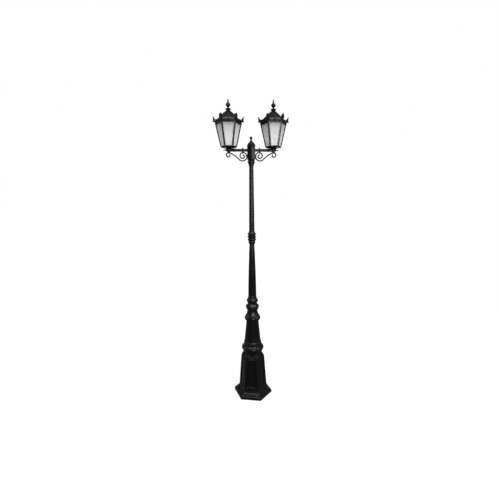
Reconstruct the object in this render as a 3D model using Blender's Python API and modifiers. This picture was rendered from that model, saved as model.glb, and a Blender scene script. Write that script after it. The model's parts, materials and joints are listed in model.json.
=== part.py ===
"""Twin-lantern street lamp post: a hexagonal cast foot, a tapered shaft, and a head with two arms,
S-scrolls and six-sided lanterns. Metres, +Z up. The origin is the centre of the foot's underside.
The arms run along X, and the front looks along -Y. Profiles are lists of (radius, height) in millimetres.
"""

import math

import bmesh
import bpy
from mathutils import Vector

MM = 0.001
GAP = 0.3
ROUND = 20
SMALL = 16
ORNAMENT = 12
TINY = 8
SIDES = 6
HALF_ANGLE = math.cos(math.pi / SIDES)
ORIGIN = (0.0, 0.0, 0.0)
LIE_ALONG_X = math.pi / 2

# The column is a stack: each piece stands on the one below, and these are their heights.
PLINTH_HEIGHT = 34.0
PEDESTAL_HEIGHT = 334.7
BEAD_RING_HEIGHT = 66.7
CONE_HEIGHT = 211.7
LOWER_COLLAR_HEIGHT = 86.7
LEAF_BAND_HEIGHT = 60.7
SHAFT_COLLAR_HEIGHT = 51.7
LOWER_SHAFT_HEIGHT = 441.7
MIDDLE_COLLAR_HEIGHT = 107.7
UPPER_SHAFT_HEIGHT = 510.2
TOP_COLLAR_HEIGHT = 43.2
PEDESTAL_BASE = PLINTH_HEIGHT + GAP
BEAD_RING_BASE = PEDESTAL_BASE + PEDESTAL_HEIGHT + GAP
CONE_BASE = BEAD_RING_BASE + BEAD_RING_HEIGHT + GAP
LOWER_COLLAR_BASE = CONE_BASE + CONE_HEIGHT + GAP
LEAF_BAND_BASE = LOWER_COLLAR_BASE + LOWER_COLLAR_HEIGHT + GAP
SHAFT_COLLAR_BASE = LEAF_BAND_BASE + LEAF_BAND_HEIGHT + GAP
LOWER_SHAFT_BASE = SHAFT_COLLAR_BASE + SHAFT_COLLAR_HEIGHT + GAP
MIDDLE_COLLAR_BASE = LOWER_SHAFT_BASE + LOWER_SHAFT_HEIGHT + GAP
UPPER_SHAFT_BASE = MIDDLE_COLLAR_BASE + MIDDLE_COLLAR_HEIGHT + GAP
TOP_COLLAR_BASE = UPPER_SHAFT_BASE + UPPER_SHAFT_HEIGHT + GAP
HUB_BASE = TOP_COLLAR_BASE + TOP_COLLAR_HEIGHT + 2 * GAP

FOOT_TURN = math.radians(-12)
FOOT_RADIUS = 164.0
ANCHOR_RING_RADIUS = 92.0
ANCHOR_HOLE_RADIUS = 7.0
PANEL_LOW, PANEL_HIGH = 44.0, 281.0
PANEL_DEPTH = 3.0
PANEL_MARGIN = 19.0
PEDESTAL_WAIST = ((118.3, 36.0), (100.0, 287.0))
DOOR_HALF_WIDTH = 32.0
DOOR_LOW, DOOR_HIGH = 62.0, 208.0
DOOR_THICKNESS = 2.4
HAND_HOLE_HALF_WIDTH = 25.0
HAND_HOLE_LOW, HAND_HOLE_HIGH = 76.0, 182.0
DOOR_SCREW_HEIGHT = 195.0
SLEEVE_RADIUS = 15.8
SPIGOT_RADIUS = 13.4
CABLE_RADIUS = 4.5
LEAD_RADIUS = 1.8

HUB_RADIUS = 34.6
HUB_HEIGHT = 100.0
HUB_TURN = math.radians(30)
HUB_FACE = HUB_RADIUS * HALF_ANGLE
ARM_HEIGHT = 2026.3
ARM_RADIUS = 10.5
ARM_BORE = 6.5
LANTERN_X = 173.0
STEM_BASE = 2012.5
SCROLL_BAR = 4.0
CLAMP_RADIUS = 13.4
HOLE_CLEARANCE = 0.4
SCREW_RADIUS = 1.9
SCREW_HEAD_RADIUS = 4.0
SCREW_HEAD_HEIGHT = 3.2

# The inner volute bears on the hub's side, and the outer one passes under the stem.
INNER_VOLUTE_BOTTOM_RADIUS = 36.0
INNER_VOLUTE_END_RADIUS = 8.5
INNER_VOLUTE_SWEEP = 510.0
INNER_VOLUTE_HEIGHT = 1982.5
OUTER_VOLUTE_X = 176.5
OUTER_VOLUTE_START_RADIUS = 11.0
OUTER_VOLUTE_TOP_RADIUS = 19.5
OUTER_VOLUTE_CREST = 19.0
OUTER_VOLUTE_HEIGHT = STEM_BASE - GAP - SCROLL_BAR - OUTER_VOLUTE_CREST
VOLUTE_STEP = 22.0
HEAD_SEAT = 1.4

LANTERN_BASE = 2038.5
FRAME_BASE = 2049.5
FRAME_HEIGHT = 182.0
FRAME_WALL = 5.0
FRAME_LOW_RADIUS, FRAME_HIGH_RADIUS = 63.5, 101.0
FRAME_SLOPE_HEIGHT = 166.0
BAR_HALF_WIDTH = 9.0
WINDOW_LOW, WINDOW_HIGH = 4.0, 162.0
RIM_RADIUS = 104.0
ROOF_BASE = FRAME_BASE + FRAME_HEIGHT + GAP
ROOF_HEIGHT = 82.2
HINGE_Y = 97.5
HINGE_HEIGHT = FRAME_BASE + FRAME_HEIGHT
KNUCKLE_RADIUS = 4.0
PIN_RADIUS = 1.7
FRAME_KNUCKLE_LENGTH = 14.0
ROOF_KNUCKLE_LENGTH = 8.0
CATCH_Y = RIM_RADIUS * HALF_ANGLE + 4.0
CATCH_RADIUS = 4.8

for old in list(bpy.data.objects):
    bpy.data.objects.remove(old)
parts = bpy.data.collections.new("street_lamp_post")
cutters = bpy.data.collections.new("cutters")
bpy.context.scene.collection.children.link(parts)
bpy.context.scene.collection.children.link(cutters)


def material(name, colour, roughness, metallic, emission=0.0):
    made = bpy.data.materials.new(name)
    made.use_nodes = True
    shader = made.node_tree.nodes["Principled BSDF"]
    shader.inputs["Base Color"].default_value = (*colour, 1)
    shader.inputs["Roughness"].default_value = roughness
    shader.inputs["Metallic"].default_value = metallic
    shader.inputs["Emission Color"].default_value = (*colour, 1)
    shader.inputs["Emission Strength"].default_value = emission
    made.diffuse_color = (*colour, 1)
    return made


BLACK = material("black_paint", (0.012, 0.012, 0.013), 0.35, 0.0)
OPAL = material("opal_pane", (0.78, 0.80, 0.80), 0.5, 0.0)
BULB = material("bulb_envelope", (0.92, 0.91, 0.86), 0.3, 0.0)
PORCELAIN = material("porcelain", (0.85, 0.84, 0.80), 0.25, 0.0)
STEEL = material("zinc_plated_steel", (0.55, 0.56, 0.58), 0.35, 1.0)
CABLE = material("cable_sheath", (0.03, 0.03, 0.03), 0.6, 0.0)
TERMINAL = material("terminal_plastic", (0.80, 0.79, 0.74), 0.5, 0.0)


def world_location(obj):
    return obj.location + world_location(obj.parent) if obj else Vector()


def empty(name, parent, location):
    made = bpy.data.objects.new(name, None)
    made.empty_display_size = 0.05
    parts.objects.link(made)
    made.parent = parent
    made.location = Vector(location) * MM - world_location(parent)
    return made


def add(name, data, look, parent, location, rotation=ORIGIN):
    """Adds a piece at a world location in millimetres, or a cutter when it has no look."""
    made = bpy.data.objects.new(name, data)
    (parts if look else cutters).objects.link(made)
    made.parent = parent
    made.location = Vector(location) * MM - world_location(parent)
    made.rotation_euler = rotation
    if look:
        data.materials.append(look)
    else:
        made.hide_render = True
        made.display_type = "WIRE"
    return made


def turned(
    name, profile, look, parent=None, location=ORIGIN, rotation=ORIGIN, steps=ROUND, hollow=True
):
    """Turns a profile round the object's Z axis.
    A hollow one is a closed loop, down its outside and up its bore."""
    mesh = bpy.data.meshes.new(name)
    form = bmesh.new()
    points = [form.verts.new((radius * MM, 0, height * MM)) for radius, height in profile]
    for start, end in zip(points, points[1:]):
        form.edges.new((start, end))
    if hollow:
        form.edges.new((points[-1], points[0]))
    form.to_mesh(mesh)
    form.free()
    made = add(name, mesh, look, parent, location, rotation)
    screw = made.modifiers.new("turn", "SCREW")
    screw.steps = steps
    screw.render_steps = steps
    screw.use_merge_vertices = True
    screw.merge_threshold = 0.00001
    screw.use_smooth_shade = steps > SIDES
    return made


def cylinder(name, radius, length, look, parent, location, rotation=ORIGIN, segments=SMALL):
    mesh = bpy.data.meshes.new(name)
    form = bmesh.new()
    size = {"radius1": radius * MM, "radius2": radius * MM, "depth": length * MM}
    bmesh.ops.create_cone(form, cap_ends=True, segments=segments, **size)
    form.to_mesh(mesh)
    form.free()
    return add(name, mesh, look, parent, location, rotation)


def box(name, size, look, parent, location, rotation=ORIGIN):
    mesh = bpy.data.meshes.new(name)
    form = bmesh.new()
    bmesh.ops.create_cube(form, size=MM)
    bmesh.ops.scale(form, vec=size, verts=form.verts)
    form.to_mesh(mesh)
    form.free()
    return add(name, mesh, look, parent, location, rotation)


def side_blocks(
    name, low, high, depth, reach, parent=None, location=ORIGIN, turn=0.0, sides=range(SIDES)
):
    """Blocks on the faces of a tapered hexagon. low and high are (corner radius, height, half width)."""
    mesh = bpy.data.meshes.new(name)
    form = bmesh.new()
    for side in sides:
        angle = math.pi / SIDES + side * 2 * math.pi / SIDES
        outward = Vector((math.cos(angle), math.sin(angle), 0))
        along = Vector((-math.sin(angle), math.cos(angle), 0))
        for corner in bmesh.ops.create_cube(form, size=2)["verts"]:
            radius, height, half_width = high if corner.co.z > 0 else low
            across = radius * HALF_ANGLE + (reach if corner.co.x > 0 else -depth)
            place = outward * across + along * half_width * corner.co.y
            corner.co = (place + Vector((0, 0, height))) * MM
    bmesh.ops.recalc_face_normals(form, faces=form.faces)
    form.to_mesh(mesh)
    form.free()
    return add(name, mesh, None, parent, location, (0, 0, turn))


def combine(target, tool, operation):
    boolean = target.modifiers.new(f"{operation.lower()}_{tool.name}", "BOOLEAN")
    boolean.operation = operation
    boolean.object = tool
    boolean.solver = "EXACT"


def cut(target, tool):
    combine(target, tool, "DIFFERENCE")


def join(target, tool):
    combine(target, tool, "UNION")


def mesh_of_curve(curve):
    """Makes a mesh of a curve object, welds its caps, and removes the curve."""
    holder = bpy.data.objects.new("curve_holder", curve)
    parts.objects.link(holder)
    graph = bpy.context.evaluated_depsgraph_get()
    mesh = bpy.data.meshes.new_from_object(holder.evaluated_get(graph))
    bpy.data.objects.remove(holder)
    form = bmesh.new()
    form.from_mesh(mesh)
    bmesh.ops.remove_doubles(form, verts=form.verts, dist=0.000001)
    bmesh.ops.recalc_face_normals(form, faces=form.faces)
    form.to_mesh(mesh)
    form.free()
    return mesh


def line_curve(name, points, closed):
    curve = bpy.data.curves.new(name, "CURVE")
    spline = curve.splines.new("POLY")
    spline.points.add(len(points) - 1)
    spline.use_cyclic_u = closed
    for target, point in zip(spline.points, points):
        target.co = (*(Vector(point) * MM), 1)
    return curve


def wire_curve(name, points, radius):
    curve = line_curve(name, points, closed=False)
    curve.dimensions = "3D"
    curve.bevel_depth = radius * MM
    curve.bevel_resolution = 2
    curve.use_fill_caps = True
    return curve


def plate_mesh(name, outline, thickness):
    """A flat plate in the XY plane from its outline."""
    curve = line_curve(name, [(x, y, 0) for x, y in outline], closed=True)
    curve.dimensions = "2D"
    curve.fill_mode = "BOTH"
    curve.extrude = thickness / 2 * MM
    return mesh_of_curve(curve)


def screw_profile(shank_length, head_height=SCREW_HEAD_HEIGHT, shank=SCREW_RADIUS, head=SCREW_HEAD_RADIUS):
    """A solid screw: its head's top is up, and the shank points down from height 0."""
    return [
        (0, head_height),
        (head * 0.8, head_height),
        (head, head_height * 0.6),
        (head, 0),
        (shank, 0),
        (shank, -shank_length),
        (0, -shank_length),
    ]


def waist_radius(height):
    """The corner radius of the pedestal's tapered waist at a height."""
    (low_radius, low), (high_radius, high) = PEDESTAL_WAIST
    return low_radius + (high_radius - low_radius) * (height - low) / (high - low)


def base_plinth():
    profile = [
        (118.0, PLINTH_HEIGHT),
        (138.0, PLINTH_HEIGHT),
        (148.0, 32.0),
        (150.0, 25.0),
        (157.0, 23.0),
        (162.0, 18.0),
        (FOOT_RADIUS, 0.0),
        (70.0, 0.0),
        (70.0, 10.0),
        (118.0, 10.0),
    ]
    plinth = turned("base_plinth", profile, BLACK, rotation=(0, 0, FOOT_TURN), steps=SIDES)
    for number in range(3):
        angle = FOOT_TURN + number * math.radians(120)
        place = (ANCHOR_RING_RADIUS * math.cos(angle), ANCHOR_RING_RADIUS * math.sin(angle), 5.0)
        cut(plinth, cylinder(f"anchor_hole_{number + 1}", ANCHOR_HOLE_RADIUS, 30.0, None, None, place))


def base_pedestal():
    low, high = PEDESTAL_WAIST
    profile = [
        (70.0, PEDESTAL_HEIGHT),
        (77.0, PEDESTAL_HEIGHT),
        (82.0, 327.0),
        (90.0, 315.0),
        (96.5, 301.0),
        high,
        low,
        (121.0, 22.0),
        (126.5, 10.0),
        (134.0, 0.0),
        (119.0, 0.0),
        (109.5, low[1]),
        (91.5, high[1]),
        (88.0, 300.0),
    ]
    place = (0, 0, PEDESTAL_BASE)
    turn = (0, 0, FOOT_TURN)
    pedestal = turned("base_pedestal", profile, BLACK, location=place, rotation=turn, steps=SIDES)
    corners = [(waist_radius(h), h, waist_radius(h) / 2 - PANEL_MARGIN) for h in (PANEL_LOW, PANEL_HIGH)]
    recesses = side_blocks("panel_recesses", *corners, PANEL_DEPTH, 8.0, location=place, turn=FOOT_TURN)
    cut(pedestal, recesses)
    hole = [(waist_radius(h), h, HAND_HOLE_HALF_WIDTH) for h in (HAND_HOLE_LOW, HAND_HOLE_HIGH)]
    cut(pedestal, side_blocks("hand_hole", *hole, 20.0, 8.0, location=place, turn=FOOT_TURN, sides=[1]))
    place, rotation = door_screw_place()
    hole_radius = SCREW_RADIUS + HOLE_CLEARANCE
    cut(pedestal, cylinder("door_screw_hole", hole_radius, 60.0, None, None, place, rotation))


def door_screw_place():
    """Where the door's screw stands, and its turn: its axis is square to the tilted rear panel."""
    (low_radius, low), (high_radius, high) = PEDESTAL_WAIST
    tilt = math.atan((low_radius - high_radius) * HALF_ANGLE / (high - low))
    heading = FOOT_TURN + math.pi / 2
    across = waist_radius(DOOR_SCREW_HEIGHT) * HALF_ANGLE - PANEL_DEPTH + GAP + DOOR_THICKNESS + GAP
    place = (across * math.cos(heading), across * math.sin(heading), PEDESTAL_BASE + DOOR_SCREW_HEIGHT)
    return place, (0, math.pi / 2 - tilt, heading)


def service_door():
    corners = [(waist_radius(h), h, DOOR_HALF_WIDTH) for h in (DOOR_LOW, DOOR_HIGH)]
    depth = PANEL_DEPTH - GAP
    place = (0, 0, PEDESTAL_BASE)
    reach = DOOR_THICKNESS - depth
    blank = side_blocks("door_blank", *corners, depth, reach, location=place, turn=FOOT_TURN, sides=[1])
    door = add("service_door", blank.data, BLACK, None, place, (0, 0, FOOT_TURN))
    bpy.data.objects.remove(blank)
    place, rotation = door_screw_place()
    cut(door, cylinder("door_hole", SCREW_RADIUS + HOLE_CLEARANCE, 30.0, None, None, place, rotation))
    profile = screw_profile(8.0)
    turned("door_screw", profile, STEEL, location=place, rotation=rotation, steps=TINY, hollow=False)


def ringed_column():
    """The turned pieces between the pedestal and the lower shaft."""
    bead_ring = [
        (60.0, BEAD_RING_HEIGHT),
        (73.5, BEAD_RING_HEIGHT),
        (78.5, 61.0),
        (88.0, 52.0),
        (92.8, 41.0),
        (92.8, 33.0),
        (88.0, 22.0),
        (80.0, 10.0),
        (80.0, 3.0),
        (77.5, 0.0),
        (60.0, 0.0),
    ]
    cone = [
        (44.5, CONE_HEIGHT),
        (50.5, CONE_HEIGHT),
        (56.0, 159.0),
        (62.2, 100.0),
        (70.0, 29.0),
        (73.5, 0.0),
        (66.0, 0.0),
    ]
    lower_collar = [
        (36.0, LOWER_COLLAR_HEIGHT),
        (42.5, LOWER_COLLAR_HEIGHT),
        (43.5, 78.0),
        (52.5, 49.0),
        (56.0, 42.0),
        (63.5, 32.0),
        (66.2, 20.0),
        (64.0, 9.0),
        (54.0, 0.0),
        (36.0, 0.0),
    ]
    leaf_band = [
        (32.0, LEAF_BAND_HEIGHT),
        (36.5, LEAF_BAND_HEIGHT),
        (39.5, 54.5),
        (44.0, 49.5),
        (50.5, 43.0),
        (54.5, 35.0),
        (54.5, 20.0),
        (50.5, 11.5),
        (42.0, 0.0),
        (32.0, 0.0),
    ]
    shaft_collar = [
        (27.5, SHAFT_COLLAR_HEIGHT),
        (34.5, SHAFT_COLLAR_HEIGHT),
        (36.0, 45.5),
        (39.0, 39.5),
        (45.0, 33.0),
        (47.2, 23.0),
        (45.0, 12.5),
        (39.5, 5.0),
        (38.5, 0.0),
        (27.5, 0.0),
    ]
    turned("bead_ring", bead_ring, BLACK, location=(0, 0, BEAD_RING_BASE))
    turned("base_cone", cone, BLACK, location=(0, 0, CONE_BASE))
    turned("lower_collar", lower_collar, BLACK, location=(0, 0, LOWER_COLLAR_BASE))
    turned("leaf_band", leaf_band, BLACK, location=(0, 0, LEAF_BAND_BASE))
    turned("shaft_collar", shaft_collar, BLACK, location=(0, 0, SHAFT_COLLAR_BASE))


def shafts():
    lower_shaft = [
        (16.6, LOWER_SHAFT_HEIGHT),
        (20.1, LOWER_SHAFT_HEIGHT),
        (22.4, 403.0),
        (25.4, 337.0),
        (30.9, 160.0),
        (33.0, 58.0),
        (33.4, 0.0),
        (29.2, 0.0),
        (26.9, 160.0),
        (21.4, 337.0),
    ]
    middle_collar = [
        (16.4, MIDDLE_COLLAR_HEIGHT),
        (23.0, MIDDLE_COLLAR_HEIGHT),
        (24.3, 99.0),
        (34.5, 87.0),
        (34.5, 79.5),
        (26.5, 73.0),
        (35.8, 66.5),
        (35.8, 59.0),
        (27.2, 50.5),
        (34.7, 43.5),
        (34.7, 36.5),
        (26.5, 30.0),
        (28.3, 19.5),
        (26.2, 10.5),
        (21.5, 0.0),
        (16.4, 0.0),
    ]
    upper_shaft = [
        (14.0, UPPER_SHAFT_HEIGHT),
        (17.1, UPPER_SHAFT_HEIGHT),
        (19.9, 247.0),
        (22.2, 0.0),
        (18.7, 0.0),
    ]
    top_collar = [
        (14.0, TOP_COLLAR_HEIGHT),
        (25.0, TOP_COLLAR_HEIGHT),
        (26.8, 36.5),
        (27.4, 29.0),
        (27.0, 21.5),
        (24.0, 12.0),
        (20.0, 0.0),
        (14.0, 0.0),
    ]
    turned("lower_shaft", lower_shaft, BLACK, location=(0, 0, LOWER_SHAFT_BASE))
    turned("middle_collar", middle_collar, BLACK, location=(0, 0, MIDDLE_COLLAR_BASE))
    turned("upper_shaft", upper_shaft, BLACK, location=(0, 0, UPPER_SHAFT_BASE))
    turned("top_collar", top_collar, BLACK, location=(0, 0, TOP_COLLAR_BASE))


def inner_tubes():
    """The sleeve that joins the two shafts, the spigot that carries the head, and the supply cable."""
    sleeve = [(SLEEVE_RADIUS, 240.0), (SLEEVE_RADIUS, 0.0), (12.6, 0.0), (12.6, 240.0)]
    spigot = [(SPIGOT_RADIUS, 145.0), (SPIGOT_RADIUS, 0.0), (10.4, 0.0), (10.4, 145.0)]
    turned("shaft_sleeve", sleeve, STEEL, location=(0, 0, 1220.0), steps=SMALL)
    turned("head_spigot", spigot, STEEL, location=(0, 0, 1840.0), steps=SMALL)
    points = [(0, 0, 2.0), (0, 0, 700.0), (0, 0, 1400.0), (0, 0, 1988.0)]
    add("supply_cable", wire_curve("supply_cable", points, CABLE_RADIUS), CABLE, None, ORIGIN)


def hub(head):
    low_ledge = 11.5
    profile = [
        (30.0, HUB_HEIGHT),
        (HUB_RADIUS, HUB_HEIGHT),
        (HUB_RADIUS, 0.0),
        (16.4, 0.0),
        (16.4, low_ledge),
        (30.0, low_ledge),
    ]
    body = turned("hub_body", profile, BLACK, head, (0, 0, HUB_BASE), (0, 0, HUB_TURN), SIDES)
    across = (0, LIE_ALONG_X, 0)
    hole = ARM_RADIUS + HOLE_CLEARANCE
    cut(body, cylinder("arm_bore", hole, 90.0, None, head, (0, 0, ARM_HEIGHT), across))
    hole = SCREW_RADIUS + HOLE_CLEARANCE
    cut(body, cylinder("scroll_bolt_bore", hole, 90.0, None, head, (0, 0, INNER_VOLUTE_HEIGHT), across))

    cap_screw_height = HUB_BASE + 94.5
    heading = math.radians(-60)
    cap_hole = (HUB_FACE * math.cos(heading), HUB_FACE * math.sin(heading), cap_screw_height)
    toward = (0, LIE_ALONG_X, heading)
    tool = cylinder("cap_screw_hole", hole, 30.0, None, head, cap_hole, toward)
    cut(body, tool)
    cap = hub_cap(head)
    cut(cap, tool)
    reach = HUB_FACE + GAP
    place = (reach * math.cos(heading), reach * math.sin(heading), cap_screw_height)
    turned("cap_screw", screw_profile(8.0, 2.0, head=3.4), STEEL, head, place, toward, TINY, False)

    for number, degrees in enumerate((60, 120)):
        heading = math.radians(degrees)
        place = (reach * math.cos(heading), reach * math.sin(heading), HUB_BASE + low_ledge / 2)
        toward = (0, LIE_ALONG_X, heading)
        cut(body, cylinder(f"set_screw_hole_{number + 1}", hole, 50.0, None, head, place, toward))
        profile = screw_profile(15.8, 2.4, head=3.4)
        turned(f"head_set_screw_{number + 1}", profile, STEEL, head, place, toward, TINY, False)

    finial = [
        (0.0, 43.3),
        (6.0, 41.7),
        (10.0, 37.7),
        (11.6, 32.0),
        (10.0, 26.3),
        (6.7, 22.5),
        (6.7, 20.5),
        (9.7, 16.5),
        (13.2, 8.3),
        (15.6, 0.0),
        (4.0, 0.0),
        (4.0, -8.0),
        (0.0, -8.0),
    ]
    turned("hub_finial", finial, BLACK, head, (0, 0, HUB_BASE + 131.3), steps=ORNAMENT, hollow=False)
    box("terminal_block", (26.0, 14.0, 15.0), TERMINAL, head, (0, 0, 1996.2))


def hub_cap(head):
    """A six-sided band with a skirt inside the hub, and a round dome over it."""
    base = HUB_BASE + HUB_HEIGHT + GAP
    band = [(38.5, 6.2), (38.5, 0.0), (29.2, 0.0), (29.2, -12.8), (24.5, -12.8), (24.5, 6.2)]
    dome = [
        (4.5, 30.7),
        (15.5, 30.2),
        (22.5, 24.7),
        (28.5, 17.2),
        (31.4, 10.2),
        (31.6, 3.2),
        (23.5, 3.2),
        (23.0, 13.2),
        (18.0, 22.7),
        (4.5, 26.2),
    ]
    cap = turned("hub_cap", band, BLACK, head, (0, 0, base), (0, 0, HUB_TURN), SIDES)
    join(cap, turned("cap_dome", dome, None, head, (0, 0, base), steps=SMALL))
    return cap


def volute(centre, start, sweep, start_radius, end_radius):
    """Points on a spiral in the XZ plane, from the start angle through the sweep, both in degrees."""
    count = round(abs(sweep) / VOLUTE_STEP)
    points = []
    for index in range(count + 1):
        part = index / count
        angle = math.radians(start + sweep * part)
        radius = start_radius + (end_radius - start_radius) * part
        points.append((centre[0] + radius * math.cos(angle), centre[1] + radius * math.sin(angle)))
    return points


def hub_side_x():
    return HUB_FACE + GAP + SCROLL_BAR


def inner_volute_radius(travel):
    """The inner volute's radius after so many degrees of travel from its lowest point."""
    change = INNER_VOLUTE_END_RADIUS - INNER_VOLUTE_BOTTOM_RADIUS
    return INNER_VOLUTE_BOTTOM_RADIUS + change * travel / INNER_VOLUTE_SWEEP


def inner_volute_x():
    return hub_side_x() + inner_volute_radius(90.0)


def scroll_points():
    """The centre line of the right scroll: outer volute, slanting link, inner volute."""
    outer_centre = (OUTER_VOLUTE_X, OUTER_VOLUTE_HEIGHT)
    outer = volute(outer_centre, -200.0, 310.0, OUTER_VOLUTE_START_RADIUS, OUTER_VOLUTE_TOP_RADIUS)
    inner_centre = (inner_volute_x(), INNER_VOLUTE_HEIGHT)
    sweep = -INNER_VOLUTE_SWEEP - 45.0
    inner = volute(inner_centre, -45.0, sweep, inner_volute_radius(-45.0), INNER_VOLUTE_END_RADIUS)
    leave, arrive = Vector((-1.0, -0.35)).normalized(), Vector((-1.0, -1.0)).normalized()
    start, end = Vector(outer[-1]), Vector(inner[0])
    pull = (end - start).length / 3
    handles = (start, start + leave * pull, end - arrive * pull, end)
    link = []
    for index in range(1, 7):
        t = index / 7
        weights = ((1 - t) ** 3, 3 * t * (1 - t) ** 2, 3 * t * t * (1 - t), t**3)
        point = sum((handle * weight for handle, weight in zip(handles, weights)), Vector((0, 0)))
        link.append((point.x, point.y))
    return outer + link + inner


def arm_side(head, name, side):
    """One arm with its tip, clamp, scroll, stem, fasteners and lead. side is 1 for right, -1 for left."""
    outward = (0, side * LIE_ALONG_X, 0)
    on_axis = (0, 0, ARM_HEIGHT)
    arm = [
        (ARM_RADIUS, 166.5),
        (ARM_RADIUS, 142.0),
        (12.2, 140.0),
        (12.2, 130.0),
        (ARM_RADIUS, 128.0),
        (ARM_RADIUS, 23.5),
        (ARM_BORE, 23.5),
        (ARM_BORE, 166.5),
    ]
    turned(f"{name}_arm", arm, BLACK, head, on_axis, outward, SMALL)
    tip = [
        (0.0, 218.5),
        (3.2, 210.0),
        (4.2, 197.0),
        (7.5, 194.5),
        (7.5, 189.5),
        (10.2, 189.0),
        (10.2, 181.0),
        (0.0, 181.0),
    ]
    turned(f"{name}_arm_tip", tip, BLACK, head, on_axis, outward, ORNAMENT, False)

    hole = SCREW_RADIUS + HOLE_CLEARANCE
    inner_x = side * inner_volute_x()
    crest = INNER_VOLUTE_HEIGHT + inner_volute_radius(180.0)
    clamp = [
        (CLAMP_RADIUS, 6.0),
        (CLAMP_RADIUS, -6.0),
        (ARM_RADIUS + HOLE_CLEARANCE, -6.0),
        (ARM_RADIUS + HOLE_CLEARANCE, 6.0),
    ]
    ring = turned(f"{name}_arm_clamp", clamp, BLACK, head, (inner_x, 0, ARM_HEIGHT), outward, SMALL)
    clamp_tool = cylinder(f"{name}_clamp_screw_hole", hole, 24.0, None, head, (inner_x, 0, crest))
    cut(ring, clamp_tool)

    points = [(side * x, 0, z) for x, z in scroll_points()]
    bar = mesh_of_curve(wire_curve("scroll", points, SCROLL_BAR))
    scroll = add(f"{name}_scroll", bar, BLACK, head, ORIGIN)
    for face in scroll.data.polygons:
        face.use_smooth = len(face.vertices) == 4
    cut(scroll, clamp_tool)
    at_hub = (side * hub_side_x(), 0, INNER_VOLUTE_HEIGHT)
    cut(scroll, cylinder(f"{name}_scroll_bolt_hole", hole, 14.0, None, head, at_hub, outward))
    bolt_place = (side * (hub_side_x() + SCROLL_BAR + HEAD_SEAT), 0, INNER_VOLUTE_HEIGHT)
    stem_x = side * LANTERN_X
    stem_tool = cylinder(f"{name}_stem_bolt_hole", hole, 16.0, None, head, (stem_x, 0, STEM_BASE - 3.0))
    cut(scroll, stem_tool)
    turned(f"{name}_scroll_bolt", screw_profile(12.2), STEEL, head, bolt_place, outward, TINY, False)
    upside_down = (math.pi, 0, 0)
    under_clamp = (inner_x, 0, crest - SCROLL_BAR - HEAD_SEAT)
    profile = screw_profile(11.3, 2.6)
    turned(f"{name}_scroll_screw", profile, STEEL, head, under_clamp, upside_down, TINY, False)
    under_stem = (stem_x, 0, STEM_BASE - GAP - 2 * SCROLL_BAR - HEAD_SEAT)
    profile = screw_profile(12.0, 2.6)
    turned(f"{name}_stem_bolt", profile, STEEL, head, under_stem, upside_down, TINY, False)
    stem(head, name, side)
    lamp_lead(head, name, side)


def stem(head, name, side):
    """An upright body under the lantern, bored across for the arm."""
    profile = [
        (5.8, 25.7),
        (23.3, 25.7),
        (23.3, 23.2),
        (18.5, 21.2),
        (16.5, 18.7),
        (16.5, 5.0),
        (13.7, 3.4),
        (13.7, 0.0),
        (2.4, 0.0),
        (2.4, 8.0),
        (5.8, 8.0),
    ]
    place = (side * LANTERN_X, 0, STEM_BASE)
    body = turned(f"{name}_stem", profile, BLACK, head, place, steps=SMALL)
    bore = ARM_RADIUS + HOLE_CLEARANCE
    place = (side * LANTERN_X, 0, ARM_HEIGHT)
    cut(body, cylinder(f"{name}_stem_bore", bore, 60.0, None, head, place, (0, LIE_ALONG_X, 0)))


def lamp_lead(head, name, side):
    route = [
        (8.0, 2005.0),
        (8.2, 2014.0),
        (12.0, 2022.5),
        (20.0, 2026.0),
        (40.0, ARM_HEIGHT),
        (90.0, ARM_HEIGHT),
        (140.0, ARM_HEIGHT),
        (158.0, 2026.8),
        (168.0, 2029.5),
        (172.4, 2034.0),
        (LANTERN_X, 2039.0),
        (LANTERN_X, 2048.0),
    ]
    points = [(side * x, 0, z) for x, z in route]
    add(f"{name}_lamp_lead", wire_curve(f"{name}_lamp_lead", points, LEAD_RADIUS), CABLE, head, ORIGIN)


def frame_radius(height):
    """The corner radius of the lantern frame's sloping bars at a height above its base."""
    return FRAME_LOW_RADIUS + (FRAME_HIGH_RADIUS - FRAME_LOW_RADIUS) * height / FRAME_SLOPE_HEIGHT


def lantern(head, name, side):
    x = side * LANTERN_X
    pan = [
        (54.0, 10.7),
        (61.0, 10.7),
        (61.0, 8.2),
        (56.5, 5.2),
        (40.0, 1.9),
        (24.0, 0.0),
        (6.2, 0.0),
        (6.2, 3.2),
        (24.0, 3.2),
        (40.0, 5.0),
        (54.0, 7.7),
    ]
    turned(f"{name}_lantern_pan", pan, BLACK, head, (x, 0, LANTERN_BASE), steps=SIDES)
    lantern_frame(head, name, x)
    inside = FRAME_WALL + GAP + 0.2
    wall = 3.0
    foot, top = 0.3, 164.5
    diffuser = [
        (frame_radius(top) - inside, top),
        (frame_radius(foot) - inside, foot),
        (frame_radius(foot) - inside - wall, foot),
        (frame_radius(top) - inside - wall, top),
    ]
    turned(f"{name}_diffuser", diffuser, OPAL, head, (x, 0, FRAME_BASE), steps=SIDES)
    holder = [
        (15.0, 54.2),
        (18.5, 54.2),
        (19.5, 45.0),
        (18.0, 15.0),
        (14.0, 0.0),
        (4.0, 0.0),
        (4.0, 8.0),
        (14.2, 15.0),
    ]
    turned(f"{name}_lamp_holder", holder, PORCELAIN, head, (x, 0, LANTERN_BASE + 3.5), steps=ORNAMENT)
    bulb = [
        (0.0, 108.5),
        (13.0, 105.5),
        (23.0, 97.5),
        (29.0, 85.5),
        (29.5, 75.5),
        (26.5, 63.5),
        (20.5, 51.5),
        (13.2, 37.0),
        (13.0, 3.0),
        (6.0, 0.0),
        (0.0, 0.0),
    ]
    turned(f"{name}_bulb", bulb, BULB, head, (x, 0, LANTERN_BASE + 20.2), steps=ORNAMENT, hollow=False)
    lantern_roof(head, name, x)


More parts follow.
